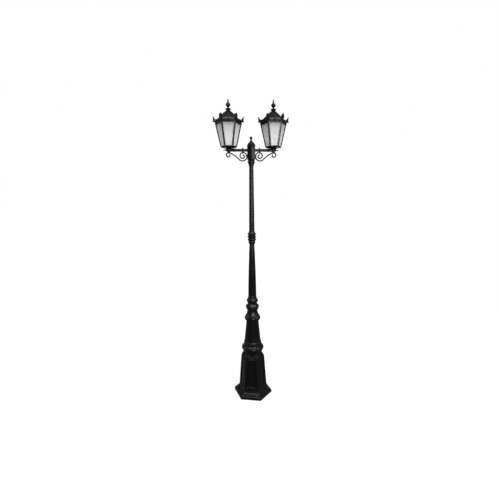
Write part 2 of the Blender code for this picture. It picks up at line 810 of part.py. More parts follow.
def lantern_frame(head, name, x):
    """A casting of six sloping corner bars between a foot ring and a deep top rim."""
    place = (x, 0, FRAME_BASE)
    slope = FRAME_SLOPE_HEIGHT
    profile = [
        (95.0, FRAME_HEIGHT),
        (RIM_RADIUS, FRAME_HEIGHT),
        (RIM_RADIUS, FRAME_HEIGHT - 10.0),
        (102.5, FRAME_HEIGHT - 13.5),
        (FRAME_HIGH_RADIUS, slope),
        (FRAME_LOW_RADIUS, 0.0),
        (FRAME_LOW_RADIUS - FRAME_WALL, 0.0),
        (FRAME_HIGH_RADIUS - FRAME_WALL, slope),
        (95.0, FRAME_HEIGHT - 12.0),
    ]
    frame = turned(f"{name}_lantern_frame", profile, BLACK, head, place, steps=SIDES)
    levels = (WINDOW_LOW, WINDOW_HIGH)
    corners = [(frame_radius(h), h, frame_radius(h) / 2 - BAR_HALF_WIDTH) for h in levels]
    cut(frame, side_blocks(f"{name}_windows", *corners, 14.0, 6.0, head, place))
    web_size = (FRAME_KNUCKLE_LENGTH, 11.5, 8.0)
    web_place = (x, HINGE_Y - web_size[1] / 2, HINGE_HEIGHT - 5.5)
    join(frame, box(f"{name}_frame_web", web_size, None, head, web_place))
    join(frame, knuckle(f"{name}_frame_knuckle", FRAME_KNUCKLE_LENGTH, head, x))
    lug = (x, -CATCH_Y, HINGE_HEIGHT - 5.0)
    join(frame, cylinder(f"{name}_frame_lug", CATCH_RADIUS, 10.0, None, head, lug))
    bore = PIN_RADIUS + HOLE_CLEARANCE
    cut(frame, knuckle(f"{name}_frame_knuckle_bore", 2 * FRAME_KNUCKLE_LENGTH, head, x, bore))
    cut(frame, cylinder(f"{name}_frame_lug_hole", SCREW_RADIUS + 0.6, 40.0, None, head, lug))


def knuckle(name, length, parent, x, radius=KNUCKLE_RADIUS):
    return cylinder(name, radius, length, None, parent, (x, HINGE_Y, HINGE_HEIGHT), (0, LIE_ALONG_X, 0))


def horn_plates():
    """The outlines of one corner horn, as (distance from the lantern's axis, height above the roof's base)
    with a thickness: a broad leaf, and the slim tip that curls out of it."""
    leaf = [
        (92.0, 3.0),
        (104.0, 1.8),
        (119.0, 1.0),
        (116.5, 10.0),
        (115.5, 22.0),
        (117.0, 31.0),
        (115.5, 36.5),
        (110.5, 36.5),
        (106.5, 28.0),
        (99.0, 20.0),
        (88.0, 16.0),
    ]
    tip = [
        (105.0, 20.0),
        (115.0, 20.0),
        (117.8, 32.0),
        (123.8, 42.5),
        (114.0, 37.5),
        (104.0, 27.0),
    ]
    return ((leaf, 19.0), (tip, 6.0))


def lantern_roof(head, name, x):
    """The hinged roof: a six-sided shell with corner horns, its finial, hinge pin and catch screw."""
    hinge = empty(f"{name}_roof_axis", head, (x, HINGE_Y, HINGE_HEIGHT))
    place = (x, 0, ROOF_BASE)
    shell = [
        (5.2, ROOF_HEIGHT),
        (17.0, ROOF_HEIGHT - 1.0),
        (29.0, 72.0),
        (39.0, 62.5),
        (62.0, 40.5),
        (88.0, 17.0),
        (92.0, 15.0),
        (RIM_RADIUS, 5.0),
        (RIM_RADIUS, 0.0),
        (96.0, 0.0),
        (95.0, 4.5),
        (86.0, 11.5),
        (60.0, 36.0),
        (37.0, 57.5),
        (26.0, 67.5),
        (16.0, 76.5),
        (5.2, 77.7),
    ]
    roof = turned(f"{name}_roof", shell, BLACK, hinge, place, steps=SIDES)
    for number, (outline, thickness) in enumerate(horn_plates()):
        plate = plate_mesh("horn", outline, thickness)
        for corner in range(SIDES):
            turn = corner * 2 * math.pi / SIDES
            tool_name = f"{name}_horn_{corner + 1}_{number + 1}"
            join(roof, add(tool_name, plate, None, hinge, place, (math.pi / 2, 0, turn)))
    offset = (FRAME_KNUCKLE_LENGTH + ROOF_KNUCKLE_LENGTH) / 2 + 0.5
    for number, shift in enumerate((-offset, offset)):
        web_size = (ROOF_KNUCKLE_LENGTH, 11.0, 8.0)
        web_place = (x + shift, HINGE_Y - web_size[1] / 2, HINGE_HEIGHT + 5.0)
        join(roof, box(f"{name}_roof_web_{number + 1}", web_size, None, hinge, web_place))
        join(roof, knuckle(f"{name}_roof_knuckle_{number + 1}", ROOF_KNUCKLE_LENGTH, hinge, x + shift))
    cut(roof, knuckle(f"{name}_roof_knuckle_bore", 60.0, hinge, x, PIN_RADIUS + HOLE_CLEARANCE))
    lug = (x, -CATCH_Y, ROOF_BASE + 3.9)
    join(roof, cylinder(f"{name}_roof_lug", CATCH_RADIUS, 7.8, None, hinge, lug))
    cut(roof, cylinder(f"{name}_roof_lug_hole", SCREW_RADIUS + HOLE_CLEARANCE, 40.0, None, hinge, lug))
    catch = (x, -CATCH_Y, ROOF_BASE + 7.8 + GAP)
    turned(f"{name}_catch_screw", screw_profile(16.0, 5.6), STEEL, hinge, catch, steps=TINY, hollow=False)
    finial = [
        (0.0, 86.0),
        (2.4, 81.5),
        (7.0, 68.0),
        (7.8, 62.0),
        (6.2, 57.5),
        (14.0, 54.7),
        (17.4, 47.5),
        (17.0, 40.5),
        (11.0, 30.0),
        (5.8, 25.0),
        (7.0, 20.5),
        (19.0, 16.0),
        (22.5, 12.0),
        (20.0, 8.2),
        (15.0, 5.5),
        (15.5, 0.3),
        (4.0, 0.3),
        (4.0, -9.0),
        (0.0, -9.0),
    ]
    top = (x, 0, ROOF_BASE + ROOF_HEIGHT)
    turned(f"{name}_roof_finial", finial, BLACK, hinge, top, steps=ORNAMENT, hollow=False)
    pin_length = FRAME_KNUCKLE_LENGTH + 2 * ROOF_KNUCKLE_LENGTH + 4.0
    along = (0, LIE_ALONG_X, 0)
    cylinder(f"{name}_hinge_pin", PIN_RADIUS, pin_length, STEEL, head, (x, HINGE_Y, HINGE_HEIGHT), along)


base_plinth()
base_pedestal()
service_door()
ringed_column()
shafts()
inner_tubes()
head_axis = empty("head_axis", None, (0, 0, HUB_BASE))
hub(head_axis)
for side_name, side_sign in (("left", -1), ("right", 1)):
    arm_side(head_axis, side_name, side_sign)
    lantern(head_axis, side_name, side_sign)
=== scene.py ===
"""Looks for the twin-lantern street lamp post: shaped castings, opal panes, fasteners, paint and light.

Outlines are lists of (radius, height) in millimetres above the CAD node that the piece stands for, down the
outside and up the bore. A third number in a point is how far its corner is softened, in millimetres."""

import json
from math import atan, atan2, cos, pi, radians, sin, sqrt, tan

import bmesh
import bpy
from mathutils import Euler, Matrix, Vector


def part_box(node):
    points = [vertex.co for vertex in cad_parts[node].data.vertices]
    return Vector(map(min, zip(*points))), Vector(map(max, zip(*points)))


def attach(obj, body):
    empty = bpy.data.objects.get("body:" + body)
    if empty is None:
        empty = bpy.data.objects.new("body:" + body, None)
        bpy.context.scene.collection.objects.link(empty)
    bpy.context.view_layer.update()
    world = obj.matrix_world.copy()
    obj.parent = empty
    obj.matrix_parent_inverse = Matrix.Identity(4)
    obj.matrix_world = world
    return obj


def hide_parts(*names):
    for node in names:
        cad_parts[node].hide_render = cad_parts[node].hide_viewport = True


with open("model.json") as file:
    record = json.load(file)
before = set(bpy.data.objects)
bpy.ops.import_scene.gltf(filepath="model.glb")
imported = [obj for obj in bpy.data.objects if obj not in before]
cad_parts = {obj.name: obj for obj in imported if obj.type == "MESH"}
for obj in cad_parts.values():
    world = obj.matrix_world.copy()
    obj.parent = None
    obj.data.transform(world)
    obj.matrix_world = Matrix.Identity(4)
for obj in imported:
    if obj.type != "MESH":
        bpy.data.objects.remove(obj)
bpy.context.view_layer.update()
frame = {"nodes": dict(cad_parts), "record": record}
record = frame["record"]

MM = 0.001
SIDES = 6
FACE = cos(pi / SIDES)
SIXTH = pi / 3
ROUND = 96
FINE = 64
ARC_STEPS = 3
CORNER_STEPS = 4
CAP_ANGLES = (0.5, 1.0, 1.4)
SHARP_ANGLE = 32.0
FACETS = 12

FOOT_TURN = radians(-12)
ANCHOR_CIRCLE, ANCHOR_RADIUS = 92.0, 7.0
WAIST_LOW, WAIST_HIGH = (118.3, 36.0), (100.0, 287.0)
WAIST_LEAN = atan((WAIST_LOW[0] - WAIST_HIGH[0]) * FACE / (WAIST_HIGH[1] - WAIST_LOW[1]))
WAIST_PANEL = (42.0, 293.5)
SHOULDER_PANEL = (300.0, 328.0)
PANEL_MARGIN = 19.0
PANEL_DEPTH = 3.0
BEAD_MIDDLE, BEAD_HALF_WIDTH, BEAD_HEIGHT = 6.0, 3.4, 5.0
PANEL_ARCH = 4.0
DOOR_HALF_WIDTH, DOOR_HALF_HEIGHT = 25.0, 53.0

HUB_TURN = radians(30)
HUB_RADIUS = 34.6
GAP = 0.3
ARM_BORE = 10.9
SCROLL_BAR = 4.0
SCROLL_BULGE = 0.8

FRAME_LOW_RADIUS, FRAME_HIGH_RADIUS = 63.5, 101.0
FRAME_SLOPE_HEIGHT = 166.0
BAR_HALF_WIDTH = 9.0
WINDOW_LOW, WINDOW_HIGH = 4.0, 162.0
PANE_INSET = 5.5
ROOF_HEIGHT, FINIAL_SINK = 82.2, 9.0
LUG_HEIGHT = 177.0

SLOT_OF = {entry["node"]: entry["material_slot"] for entry in record["subparts"]}
BODY_OF = {node: body for body, nodes in record["behaviour"]["bodies"].items() for node in nodes}


# Materials


class Nodes:
    """A material's node tree, with short ways to add and join nodes."""

    def __init__(self, name):
        self.material = bpy.data.materials.new(name)
        self.material.use_nodes = True
        self.tree = self.material.node_tree
        self.shader = self.tree.nodes["Principled BSDF"]
        self.place = self.tree.nodes.new("ShaderNodeTexCoord").outputs["Object"]

    def node(self, kind, **inputs):
        made = self.tree.nodes.new(kind)
        for key, value in inputs.items():
            self.feed(made.inputs[key.replace("_", " ")], value)
        return made

    def feed(self, socket, value):
        if isinstance(value, bpy.types.NodeSocket):
            self.tree.links.new(value, socket)
        else:
            socket.default_value = value

    def noise(self, scale, detail=3.0, roughness=0.5):
        kind = "ShaderNodeTexNoise"
        made = self.node(kind, Vector=self.place, Scale=scale, Detail=detail, Roughness=roughness)
        return made.outputs["Fac"]

    def clouds(self, low, high, *noise):
        """Noise that runs from one level to another."""
        return self.ramp(self.noise(*noise), [(0.3, low), (0.7, high)])

    def ramp(self, value, stops):
        made = self.node("ShaderNodeValToRGB", Fac=value)
        elements = made.color_ramp.elements
        for position, _ in stops[1:-1]:
            elements.new(position)
        for element, (position, level) in zip(elements, stops):
            element.position = position
            element.color = (*level, 1) if isinstance(level, tuple) else (level, level, level, 1)
        return made.outputs["Color"]

    def mix(self, share, first, second):
        made = self.tree.nodes.new("ShaderNodeMix")
        made.data_type = "RGBA"
        for key, value in (("Factor", share), ("A", first), ("B", second)):
            self.feed(made.inputs[key], value)
        return made.outputs["Result"]

    def maths(self, operation, first, second):
        made = self.tree.nodes.new("ShaderNodeMath")
        made.operation = operation
        self.feed(made.inputs[0], first)
        self.feed(made.inputs[1], second)
        return made.outputs[0]

    def bump(self, height, strength, distance, normal=None):
        made = self.node("ShaderNodeBump", Height=height, Strength=strength, Distance=distance)
        if normal:
            self.feed(made.inputs["Normal"], normal)
        return made.outputs["Normal"]

    def set(self, **inputs):
        for key, value in inputs.items():
            self.feed(self.shader.inputs[key.replace("_", " ")], value)
        return self.material


def facing_up(look):
    """How far the surface faces the sky, from 0 to 1."""
    normal = look.tree.nodes.new("ShaderNodeNewGeometry").outputs["Normal"]
    parts = look.node("ShaderNodeSeparateXYZ", Vector=normal)
    return look.maths("MAXIMUM", parts.outputs["Z"], 0.0)


def black_paint():
    """Satin black powder coat on a casting: sandy grain, orange peel, thin dust on what faces the sky."""
    look = Nodes("black_powder_coat")
    tone = look.clouds((0.002, 0.002, 0.0022), (0.005, 0.005, 0.0053), 9.0, 4.0)
    specks = look.ramp(look.noise(38.0, 6.0, 0.7), [(0.4, 0.0), (0.75, 0.3)])
    dust = look.maths("MULTIPLY", facing_up(look), specks)
    colour = look.mix(dust, tone, (0.055, 0.053, 0.05, 1))
    patches = look.clouds(0.2, 0.34, 26.0, 5.0, 0.6)
    roughness = look.mix(dust, patches, (0.8, 0.8, 0.8, 1))
    casting = look.bump(look.noise(85.0, 2.0), 0.25, 0.0012)
    grain = look.bump(look.noise(900.0, 2.0), 0.18, 0.0002, casting)
    return look.set(Base_Color=colour, Roughness=roughness, Normal=grain, Specular_IOR_Level=0.28)


def opal_pane():
    """Opal acrylic that scatters light inside, with painted shade that greys it towards its top in place of
    the shade under the roof.
    """
    look = Nodes("opal_acrylic")
    clouds = look.clouds((0.88, 0.89, 0.89), (0.93, 0.93, 0.92), 5.0, 2.0)
    rise = look.node("ShaderNodeSeparateXYZ", Vector=look.place).outputs["Z"]
    # painted shade: the panes are mixed towards grey up their height, standing in for the roof's shade on
    # their tops
    painted_top_shade = look.ramp(look.maths("MULTIPLY", rise, 6.0), [(0.35, 0.0), (1.0, 0.6)])
    colour = look.mix(painted_top_shade, clouds, (0.26, 0.26, 0.26, 1))
    roughness = look.clouds(0.34, 0.46, 60.0, 4.0)
    ripple = look.bump(look.noise(16.0, 1.0), 0.03, 0.002)
    return look.set(
        Base_Color=colour, Roughness=roughness, Normal=ripple, Subsurface_Weight=0.6, Subsurface_Scale=0.008,
        Subsurface_Radius=(1.0, 1.0, 1.0), Specular_IOR_Level=0.3,
    )


def zinc_steel():
    look = Nodes("zinc_plated_steel")
    tone = look.clouds((0.36, 0.37, 0.39), (0.56, 0.56, 0.56), 140.0, 5.0)
    roughness = look.clouds(0.3, 0.5, 320.0, 3.0)
    grain = look.bump(look.noise(700.0), 0.1, 0.0002)
    return look.set(Base_Color=tone, Metallic=1.0, Roughness=roughness, Normal=grain)


def painted_fastener():
    """A fastener painted over with the post: the paint is worn through to zinc on its high spots."""
    look = Nodes("painted_fastener")
    wear = look.ramp(look.noise(420.0, 6.0, 0.7), [(0.58, 0.0), (0.66, 1.0)])
    colour = look.mix(wear, (0.012, 0.012, 0.013, 1), (0.33, 0.33, 0.34, 1))
    return look.set(Base_Color=colour, Metallic=wear, Roughness=look.ramp(wear, [(0.0, 0.34), (1.0, 0.48)]))


def porcelain():
    look = Nodes("glazed_porcelain")
    tone = look.clouds((0.72, 0.70, 0.64), (0.82, 0.80, 0.76), 60.0, 4.0)
    ripple = look.bump(look.noise(180.0), 0.06, 0.0004)
    return look.set(Base_Color=tone, Roughness=0.18, Normal=ripple, Coat_Weight=0.4)


def bulb_glass():
    look = Nodes("frosted_bulb_glass")
    tone = look.clouds((0.86, 0.85, 0.80), (0.93, 0.92, 0.88), 45.0, 2.0)
    return look.set(Base_Color=tone, Roughness=0.32, Subsurface_Weight=0.6, Subsurface_Scale=0.01)


def cable_sheath():
    look = Nodes("rubber_sheath")
    tone = look.clouds((0.015, 0.015, 0.015), (0.035, 0.035, 0.034), 90.0, 4.0)
    return look.set(Base_Color=tone, Roughness=0.62, Normal=look.bump(look.noise(400.0), 0.15, 0.0003))


def terminal_plastic():
    look = Nodes("moulded_terminal_plastic")
    tone = look.clouds((0.68, 0.66, 0.60), (0.78, 0.77, 0.71), 70.0, 3.0)
    return look.set(Base_Color=tone, Roughness=0.48, Normal=look.bump(look.noise(500.0), 0.1, 0.0002))


FASTENER = painted_fastener()
LOOKS = {
    "black_paint": black_paint(),
    "opal_pane": opal_pane(),
    "bulb_envelope": bulb_glass(),
    "porcelain": porcelain(),
    "zinc_plated_steel": zinc_steel(),
    "cable_sheath": cable_sheath(),
    "terminal_plastic": terminal_plastic(),
}


# Shaping


def shaded(mesh, sharp=SHARP_ANGLE):
    """The mesh shaded smooth, with edges steeper than so many degrees left sharp."""
    mesh.shade_smooth()
    mesh.set_sharp_from_angle(angle=radians(sharp))
    return mesh


def polar(angle, length=1.0, height=0.0):
    """The point at a distance from the axis in a direction."""
    return Vector((length * cos(angle), length * sin(angle), height))


def rounded(outline, softness):
    """The closed outline with each corner off the axis turned into a short curve."""
    longest = 0.48
    points = []
    for index, point in enumerate(outline):
        here = Vector(point[:2])
        soft = point[2] if len(point) > 2 else softness
        back = Vector(outline[index - 1][:2]) - here
        ahead = Vector(outline[(index + 1) % len(outline)][:2]) - here
        if here.x == 0 or soft == 0:
            points.append(here)
            continue
        start = here + back.normalized() * min(soft, back.length * longest)
        end = here + ahead.normalized() * min(soft, ahead.length * longest)
        for step in range(ARC_STEPS + 1):
            t = step / ARC_STEPS
            points.append(start * (1 - t) ** 2 + here * (2 * t * (1 - t)) + end * t * t)
    return points


def circle_section(segments, relief=None):
    """A function that gives a row's ring of points. relief(angle, radius, height) gives the shaped radius."""

    def ring(radius, height):
        points = []
        for index in range(segments):
            angle = index * 2 * pi / segments
            reach = relief(angle, radius, height) if relief else radius
            points.append(polar(angle, reach, height))
        return points

    return ring


def hexagon_section(corner, turn=0.0):
    """Rings that are hexagons with rounded corners. corner is the rounding's radius."""

    def ring(radius, height):
        soft = min(corner, radius * 0.3)
        points = []
        for side in range(SIDES):
            heading = turn + side * SIXTH
            centre = polar(heading, radius - soft / FACE)
            for step in range(CORNER_STEPS + 1):
                angle = heading + (step / CORNER_STEPS - 0.5) * SIXTH
                points.append(centre + polar(angle, soft, height))
        return points

    return ring


def loft(form, rings, closed):
    """Faces between rings of equally many points. A closed loft joins its last ring to its first."""
    rows = [[form.verts.new(point) for point in ring] for ring in rings]
    for upper, lower in zip(rows, rows[1:] + rows[:closed]):
        for index in range(len(upper)):
            after = (index + 1) % len(upper)
            form.faces.new((upper[index], upper[after], lower[after], lower[index]))
    return rows


def capped_loft(form, rings):
    """Faces between rings, and one across each end."""
    rows = loft(form, rings, closed=False)
    form.faces.new(rows[0])
    form.faces.new(rows[-1][::-1])


def finished(form, sharp=SHARP_ANGLE):
    """Welds a form drawn in millimetres, turns its faces outwards, and makes it a smooth mesh in metres."""
    bmesh.ops.remove_doubles(form, verts=form.verts, dist=0.0005)
    bmesh.ops.dissolve_degenerate(form, edges=form.edges, dist=0.0001)
    bmesh.ops.recalc_face_normals(form, faces=form.faces)
    bmesh.ops.scale(form, vec=(MM, MM, MM), verts=form.verts)
    mesh = bpy.data.meshes.new("fine")
    form.to_mesh(mesh)
    form.free()
    return shaded(mesh, sharp)


def turned_mesh(outline, section, softness=1.0):
    """A form turned from a closed outline. One that touches the axis is solid, and any other is a tube."""
    form = bmesh.new()
    points = rounded(outline, softness)
    on_axis = [index for index, point in enumerate(points) if point.x == 0]
    if on_axis:
        first = on_axis[0]
        points = points[first:] + points[:first]
        if points[-1].x != 0:
            points.append(points[0])
    rings = [section(point.x, point.y) for point in points]
    loft(form, rings, closed=not on_axis)
    return finished(form)


def evaluated_mesh(obj):
    graph = bpy.context.evaluated_depsgraph_get()
    return bpy.data.meshes.new_from_object(obj.evaluated_get(graph))


def placed(name, data, place=(0, 0, 0), turn=None):
    """A new object in the scene, at a place in millimetres."""
    made = bpy.data.objects.new(name, data)
    bpy.context.scene.collection.objects.link(made)
    made.matrix_world = Matrix.Translation(Vector(place) * MM) @ (turn or Matrix.Identity(3)).to_4x4()
    return made


def worked(mesh, tool, operation="DIFFERENCE", place=(0, 0, 0)):
    """The mesh with a tool mesh cut from it or joined to it."""
    blank, cutter = placed("blank", mesh), placed("cutter", tool, place)
    boolean = blank.modifiers.new("cut", "BOOLEAN")
    boolean.operation = operation
    boolean.object = cutter
    made = evaluated_mesh(blank)
    bpy.data.objects.remove(blank)
    bpy.data.objects.remove(cutter)
    return shaded(made)


def put(node, mesh, look=None, place=(0, 0, 0), turn=None, edge=0.0, name=None):
    """Adds a piece in place of a CAD node, riding on its body. edge is its edges' bevel width."""
    made = placed(name or f"{node}_fine", mesh, place, turn)
    made.data.materials.clear()
    made.data.materials.append(look or LOOKS[SLOT_OF[node]])
    if edge:
        bevel = made.modifiers.new("edges", "BEVEL")
        bevel.width = edge * MM
        bevel.segments = 2
        bevel.limit_method = "ANGLE"
        bevel.angle_limit = radians(35)
    weighted = made.modifiers.new("normals", "WEIGHTED_NORMAL")
    weighted.keep_sharp = True
    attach(made, BODY_OF[node])
    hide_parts(node)


def middle_of(node):
    """The centre of a node's box, in millimetres."""
    low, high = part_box(node)
    return Vector([(a + b) / 2 / MM for a, b in zip(low, high)])


def foot_of(node):
    """The centre of the bottom of a node's box, in millimetres."""
    low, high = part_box(node)
    return Vector(((low.x + high.x) / 2, (low.y + high.y) / 2, low.z)) / MM


def corners_of(node):
    """A CAD node's vertices, in millimetres."""
    return [vertex.co / MM for vertex in frame["nodes"][node].data.vertices]


def turned_piece(node, outline, softness=1.0, segments=ROUND, relief=None, place=None, turn=None):
    """A turned piece in place of a CAD node: upright on the node's foot, or placed and turned."""
    mesh = turned_mesh(outline, circle_section(segments, relief), softness)
    put(node, mesh, place=place or foot_of(node), turn=turn)


def joined(meshes):
    """One mesh of several, each given with its matrix."""
    form = bmesh.new()
    for mesh, matrix in meshes:
        part = mesh.copy()
        part.transform(matrix)
        form.from_mesh(part)
        bpy.data.meshes.remove(part)
    made = bpy.data.meshes.new("fine")
    form.to_mesh(made)
    form.free()
    return shaded(made)


def tube_rings(points, widths, depths, segments):
    """Elliptical rings along a path, with half widths along Y and half depths across it."""
    side = Vector((0, 1, 0))
    rings = []
    for index, point in enumerate(points):
        along = (points[min(index + 1, len(points) - 1)] - points[max(index - 1, 0)]).normalized()
        across = (side - along * side.dot(along)).normalized()
        up = along.cross(across)
        ring = []
        for step in range(segments):
            angle = step * 2 * pi / segments
            wide, deep = widths[index] * cos(angle), depths[index] * sin(angle)
            ring.append(point + across * wide + up * deep)
        rings.append(ring)
    return rings


def smooth_path(points, values, steps=6):
    """A Catmull-Rom path through points, with values that go along with them."""
    path, along = [], []
    count = len(points)
    for index in range(count - 1):
        quad = [points[min(max(index + shift, 0), count - 1)] for shift in (-1, 0, 1, 2)]
        for step in range(steps + (index == count - 2)):
            t = step / steps
            weights = (
                -0.5 * t + t * t - 0.5 * t**3,
                1 - 2.5 * t * t + 1.5 * t**3,
                0.5 * t + 2 * t * t - 1.5 * t**3,
                -0.5 * t * t + 0.5 * t**3,
            )
            path.append(sum((point * weight for point, weight in zip(quad, weights)), Vector()))
            along.append([a + (b - a) * t for a, b in zip(values[index], values[index + 1])])
    return path, along


def limb(form, stations, segments):
    """A closed limb through stations of (x, y, z, half width, half depth), with rounded ends."""
    places, values = [Vector(station[:3]) for station in stations], [station[3:] for station in stations]
    path, sizes = smooth_path(places, values)

    def cap(end, neighbour):
        outward, size = (path[end] - path[neighbour]).normalized(), sizes[end]
        return [(path[end] + outward * min(size) * sin(a), [s * cos(a) for s in size]) for a in CAP_ANGLES]

    whole = cap(0, 1)[::-1] + list(zip(path, sizes)) + cap(-1, -2)
    centres, widths, depths = zip(*((point, *size) for point, size in whole))
    capped_loft(form, tube_rings(centres, widths, depths, segments))


def fused(mesh, voxel, faces):
    """Overlapping closed forms melted into one skin, as cast metal, with about so many faces."""
    blank = placed("blank", mesh)
    melt = blank.modifiers.new("melt", "REMESH")
    melt.mode = "VOXEL"
    melt.voxel_size = voxel * MM
    ease = blank.modifiers.new("ease", "SMOOTH")
    ease.iterations = 2
    ease.factor = 0.5
    dense = evaluated_mesh(blank)
    thin = blank.modifiers.new("thin", "DECIMATE")
    thin.ratio = min(1.0, faces / max(len(dense.polygons), 1))
    made = evaluated_mesh(blank)
    bpy.data.objects.remove(blank)
    bpy.data.meshes.remove(dense)
    return shaded(made, 50.0)


def prism(outline, thickness):
    """A flat plate in the XY plane, centred on it, from its outline."""
    form = bmesh.new()
    rows = [[form.verts.new((x, y, z)) for x, y in outline] for z in (-thickness / 2, thickness / 2)]
    form.faces.new(rows[0][::-1])
    form.faces.new(rows[1])
    for index in range(len(outline)):
        after = (index + 1) % len(outline)
        form.faces.new((rows[0][index], rows[0][after], rows[1][after], rows[1][index]))
    return finished(form)


def rod(radius, length, segments=48):
    """A plain cylinder along Z, centred, for cutting and joining."""
    outline = [(0, length / 2), (radius, length / 2), (radius, -length / 2), (0, -length / 2)]
    return turned_mesh(outline, circle_section(segments), 0.0)


ALONG_X = Euler((0, pi / 2, 0)).to_matrix()
ALONG_Y = Euler((pi / 2, 0, 0)).to_matrix()


def laid(mesh, turn):
    """The mesh turned in place."""
    mesh.transform(turn.to_4x4())
    return mesh


def turned_about(axis):
    """The turn that lays an object's Z axis along a direction."""
    return Vector(axis).to_track_quat("Z", "Y").to_matrix()


# The foot


def moulding(distance):
    """How far a panel's surface lies in from the face, by the distance inside the panel's edge: a sunk field
    with a raised bead round it."""
    fall_width = 1.6
    if distance <= 0:
        return 0.0
    fall = min(1.0, distance / fall_width)
    depth = -PANEL_DEPTH * fall * fall * (3 - 2 * fall)
    off = (distance - BEAD_MIDDLE) / BEAD_HALF_WIDTH
    if abs(off) < 1:
        depth += BEAD_HEIGHT * sqrt(1 - off * off)
    return depth


EDGE_STEPS = (0.0, 0.5, 1.1, 1.7, 2.6, 2.9, 3.6, 4.8, 6.0, 7.2, 8.4, 9.1, 9.4, 12.0)
PEDESTAL_CURVE = [
    (77, 334.7), (78.3, 333.4), (81, 329), (86, 321.5), (90, 315), (93.8, 308), (96, 303), (97.4, 299),
    (98.7, 294), (99.5, 290), (100, 287), (118.3, 36), (119, 29), (120.4, 21), (122.4, 14.5), (124.8, 9.6),
    (127.6, 6.4), (131, 4.2), (133.4, 2.8), (134, 1.8), (134, 0.5), (133.2, 0),
]
PEDESTAL_BORE = [(119.0, 0.0), (109.5, 36.0), (91.5, 287.0), (88.0, 300.0), (70.0, 334.7)]


def pedestal_rows():
    """(corner radius, height, panel's bottom and top or None) from the neck down the outside."""

    def radius_at(height):
        for (r1, h1), (r2, h2) in zip(PEDESTAL_CURVE, PEDESTAL_CURVE[1:]):
            if h1 >= height >= h2:
                return r1 + (r2 - r1) * (h1 - height) / (h1 - h2)

    heights = {height: None for _, height in PEDESTAL_CURVE}
    for panel in (SHOULDER_PANEL, WAIST_PANEL):
        low, high = panel
        inner = EDGE_STEPS[-1]
        inside = [high - step for step in EDGE_STEPS[1:]] + [low + step for step in EDGE_STEPS[1:]]
        inside += [low + inner + (high - low - 2 * inner) * part / 10 for part in range(1, 10)]
        heights = {height: span for height, span in heights.items() if not low < height < high}
        heights.update({height: panel for height in inside})
        heights.update({low: None, high: None})
    return [(radius_at(height), height, heights[height]) for height in sorted(heights, reverse=True)]


def pedestal_ring(radius, height, panel):
    """One row of the pedestal's outside: six faces with their panels, joined by rounded corners."""
    corner = 3.0
    full_height = 250.0
    inner = EDGE_STEPS[-1]
    half_panel = radius / 2 - PANEL_MARGIN
    columns = [radius / 2 - corner * tan(pi / SIDES), half_panel + 6.0]
    columns += [half_panel - step for step in EDGE_STEPS]
    columns += [(half_panel - inner) * share for share in (0.8, 0.6, 0.4, 0.2)]
    ring = []
    for side in range(SIDES):
        heading = FOOT_TURN + (side + 0.5) * SIXTH
        outward = polar(heading)
        along = Vector((sin(heading), -cos(heading), 0))
        for column in columns + [0.0] + [-column for column in reversed(columns)]:
            rise, inward = 0.0, 0.0
            if panel:
                low, high = panel
                inward = moulding(min(half_panel - abs(column), height - low, high - height))
                share = (height - low) / (high - low)
                bow = max(0.0, 1 - (column / half_panel) ** 2)
                rise = PANEL_ARCH * bow * share**4 * min(1.0, (high - low) / full_height)
            place = outward * (radius * FACE + inward) + along * column
            ring.append(place + Vector((0, 0, height + rise)))
        centre = polar(heading + pi / 6, radius - corner / FACE)
        for step in range(1, CORNER_STEPS):
            ring.append(centre + polar(heading + step / CORNER_STEPS * SIXTH, corner, height))
    return ring


def pedestal_mesh():
    """A hexagonal casting with sunk, beaded panels on its waist and shoulder, and a flared foot."""
    rings = [pedestal_ring(*row) for row in pedestal_rows()]
    angles = [atan2(point.y, point.x) for point in rings[0]]
    for radius, height in PEDESTAL_BORE:
        ring = []
        for angle in angles:
            local = (angle - FOOT_TURN) % SIXTH - pi / 6
            ring.append(polar(angle, radius * FACE / cos(local), height))
        rings.append(ring)
    form = bmesh.new()
    loft(form, rings, closed=True)
    return finished(form, sharp=40.0)


def foot():
    plinth = [
        (118, 34), (137, 34, 0.6), (139.5, 32.6, 0.8), (147.5, 31.6, 0.8), (149.5, 29.5, 0.8),
        (150.2, 25.4, 0.5), (155.5, 23.6, 1), (160.4, 19.6, 2), (162, 15, 1), (162, 5.4, 0.8), (164, 4, 0.8),
        (164, 0, 0.4), (70, 0, 0.4), (70, 10, 0.4), (118, 10, 0.4),
    ]
    mesh = turned_mesh(plinth, hexagon_section(2.0, FOOT_TURN), 1.0)
    for number in range(3):
        heading = FOOT_TURN + number * radians(120)
        mesh = worked(mesh, rod(ANCHOR_RADIUS, 30.0), place=polar(heading, ANCHOR_CIRCLE, 5.0))
    put("base_plinth", mesh)

    heading = FOOT_TURN + pi / 2
    wide, tall = DOOR_HALF_WIDTH, DOOR_HALF_HEIGHT
    hole = prism([(-wide, -tall), (wide, -tall), (wide, tall), (-wide, tall)], 60.0)
    laid(hole, Matrix.Rotation(heading, 3, "Z") @ turned_about((1, 0, 0.07)))
    mesh = worked(pedestal_mesh(), hole, place=polar(heading, 94.0, 129.0))
    put("base_pedestal", mesh, place=(0, 0, foot_of("base_pedestal").z))
    service_door()


